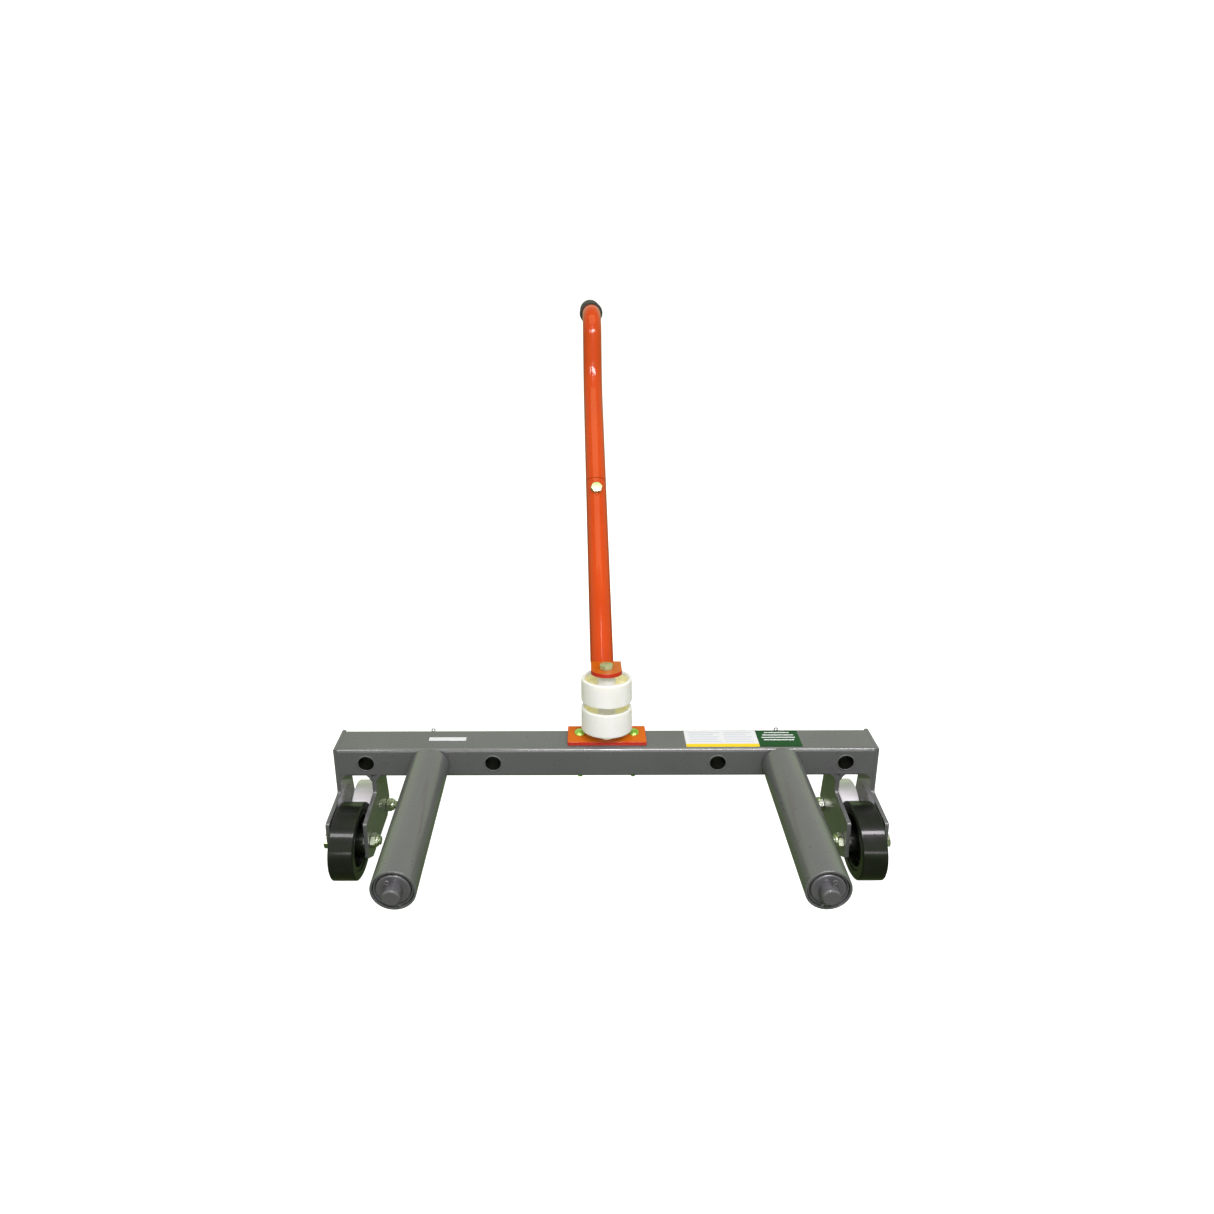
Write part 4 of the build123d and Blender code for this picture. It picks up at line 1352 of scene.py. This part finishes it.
# Plain bars in place of printed lines: start, end and middle height, as parts of the label
line_levels = (0.32, 0.46, 0.6, 0.74, 0.87)
left_ends = (0.5, 0.44, 0.47, 0.4, 0.49)
right_ends = (0.94, 0.9, 0.93, 0.86, 0.94)
notice_bars = [(0.06, end, level) for end, level in zip(left_ends, line_levels)]
notice_bars += [(0.55, end, level) for end, level in zip(right_ends, line_levels)]
green_bars = [(0.14, 0.86, 0.42), (0.1, 0.9, 0.57), (0.14, 0.88, 0.72), (0.2, 0.8, 0.87)]
green_stops = ((0, DEEP_GREEN), (0.08, GREEN), (0.92, DEEP_GREEN))
make_label("white_label", "white_film", ((0, WHITE), (0.45, tint(WHITE, 0.9)), (0.55, WHITE)))
make_label("notice_label", "white_film", ((0, YELLOW), (0.18, WHITE)), notice_bars, PALE)
make_label("green_label", "green_film", green_stops, green_bars, WHITE)


# ---------------------------------------------------------------- stage, light and camera

def make_floor():
    """Plain pale floor that rises into a wall all round. It isn't mirrored in the dolly."""
    shader = Shader("pale_floor", Roughness=0.7, Specular_IOR_Level=0.1, Emission_Strength=0.97)
    shader.surface.inputs["Emission Color"].default_value = (1, 1, 1, 1)
    stops = ((0.3, (0.32, 0.32, 0.32)), (0.7, (0.34, 0.34, 0.34)))
    shader.colour(shader.ramp(shader.noise(1.5, 2), stops))
    reach, bend = 14, 3
    profile = [(0, 0), (reach - bend, 0)]
    for step in range(1, 13):
        angle = pi / 2 * step / 12
        profile.append((reach - bend + bend * sin(angle), bend - bend * cos(angle)))
    profile.append((reach, reach))
    sweep = Solid()
    sweep.turned(Matrix(), profile, closed=False)
    floor = add_object("floor", sweep.mesh("floor", [shader.material]))
    floor.visible_diffuse = False
    floor.visible_glossy = False
    floor.visible_shadow = False


def make_light(name, place, target, width, depth, power, colour):
    """Rectangular softbox that faces a target."""
    data = bpy.data.lights.new(name, "AREA")
    data.shape = "RECTANGLE"
    data.size = width
    data.size_y = depth
    data.energy = power
    data.color = colour
    light = add_object(name, data)
    light.location = place
    light.rotation_euler = (Vector(target) - Vector(place)).to_track_quat("-Z", "Y").to_euler()


def make_world():
    """Surroundings by height: dark olive ground, pale green walls and a dimmer ceiling."""
    world = bpy.data.worlds.new("studio_room")
    world.use_nodes = True
    tree = world.node_tree
    place = tree.nodes.new("ShaderNodeTexCoord")
    split = tree.nodes.new("ShaderNodeSeparateXYZ")
    height = tree.nodes.new("ShaderNodeMapRange")
    height.inputs["From Min"].default_value = -1
    ramp = tree.nodes.new("ShaderNodeValToRGB")
    stops = (
        (0.0, (0.08, 0.11, 0.04)),
        (0.42, (0.16, 0.24, 0.09)),
        (0.52, (0.62, 0.8, 0.44)),
        (0.72, (0.8, 0.92, 0.66)),
        (0.9, (0.5, 0.54, 0.44)),
        (1.0, (0.36, 0.38, 0.32)),
    )
    fill_ramp(ramp, stops)
    background = tree.nodes["Background"]
    tree.links.new(place.outputs["Generated"], split.inputs["Vector"])
    tree.links.new(split.outputs["Z"], height.inputs["Value"])
    tree.links.new(height.outputs["Result"], ramp.inputs["Fac"])
    tree.links.new(ramp.outputs["Color"], background.inputs["Color"])
    bpy.context.scene.world = world


def make_camera():
    """Camera in front of the forks, a little left, looking down at the crossbeam."""
    pitch, yaw, roll = radians(15.45), radians(0.54), radians(-0.50)
    forward = Vector((-sin(yaw) * cos(pitch), cos(yaw) * cos(pitch), -sin(pitch)))
    right = Vector((cos(yaw), sin(yaw), 0))
    up = right.cross(forward)
    place = basis((-0.03455, -1.55547, 1.19488), -forward, right * cos(roll) + up * sin(roll))
    data = bpy.data.cameras.new("camera")
    data.sensor_width = 36
    data.lens = 22.18
    data.shift_x = 0.02305
    data.shift_y = -0.13147
    data.clip_end = 200
    camera = add_object("camera", data)
    camera.matrix_world = place
    bpy.context.scene.camera = camera


make_floor()
make_world()
make_light("key", (0.6, -1.9, 2.6), (0.1, -0.3, 0.25), 2.2, 0.42, 96, (1.0, 0.95, 1.0))
make_light("left_key", (-1.5, -1.9, 2.6), (-0.3, -0.3, 0.2), 0.8, 0.42, 18, (1.0, 0.97, 1.0))
make_light("handle_strip", (0.12, -2.33, 3.25), (0, 0.35, 1.0), 0.09, 2.4, 24, (1.0, 0.93, 1.0))
make_light("ceiling", (0, -0.1, 3.2), (0, -0.1, 0), 2.6, 1.6, 26, (0.88, 1.0, 0.6))
make_light("low_front", (0.1, -3.4, 0.4), (0, -0.3, 0.2), 3.0, 0.3, 20, (1.0, 0.9, 1.0))
make_camera()
bpy.context.scene.view_settings.view_transform = "Standard"
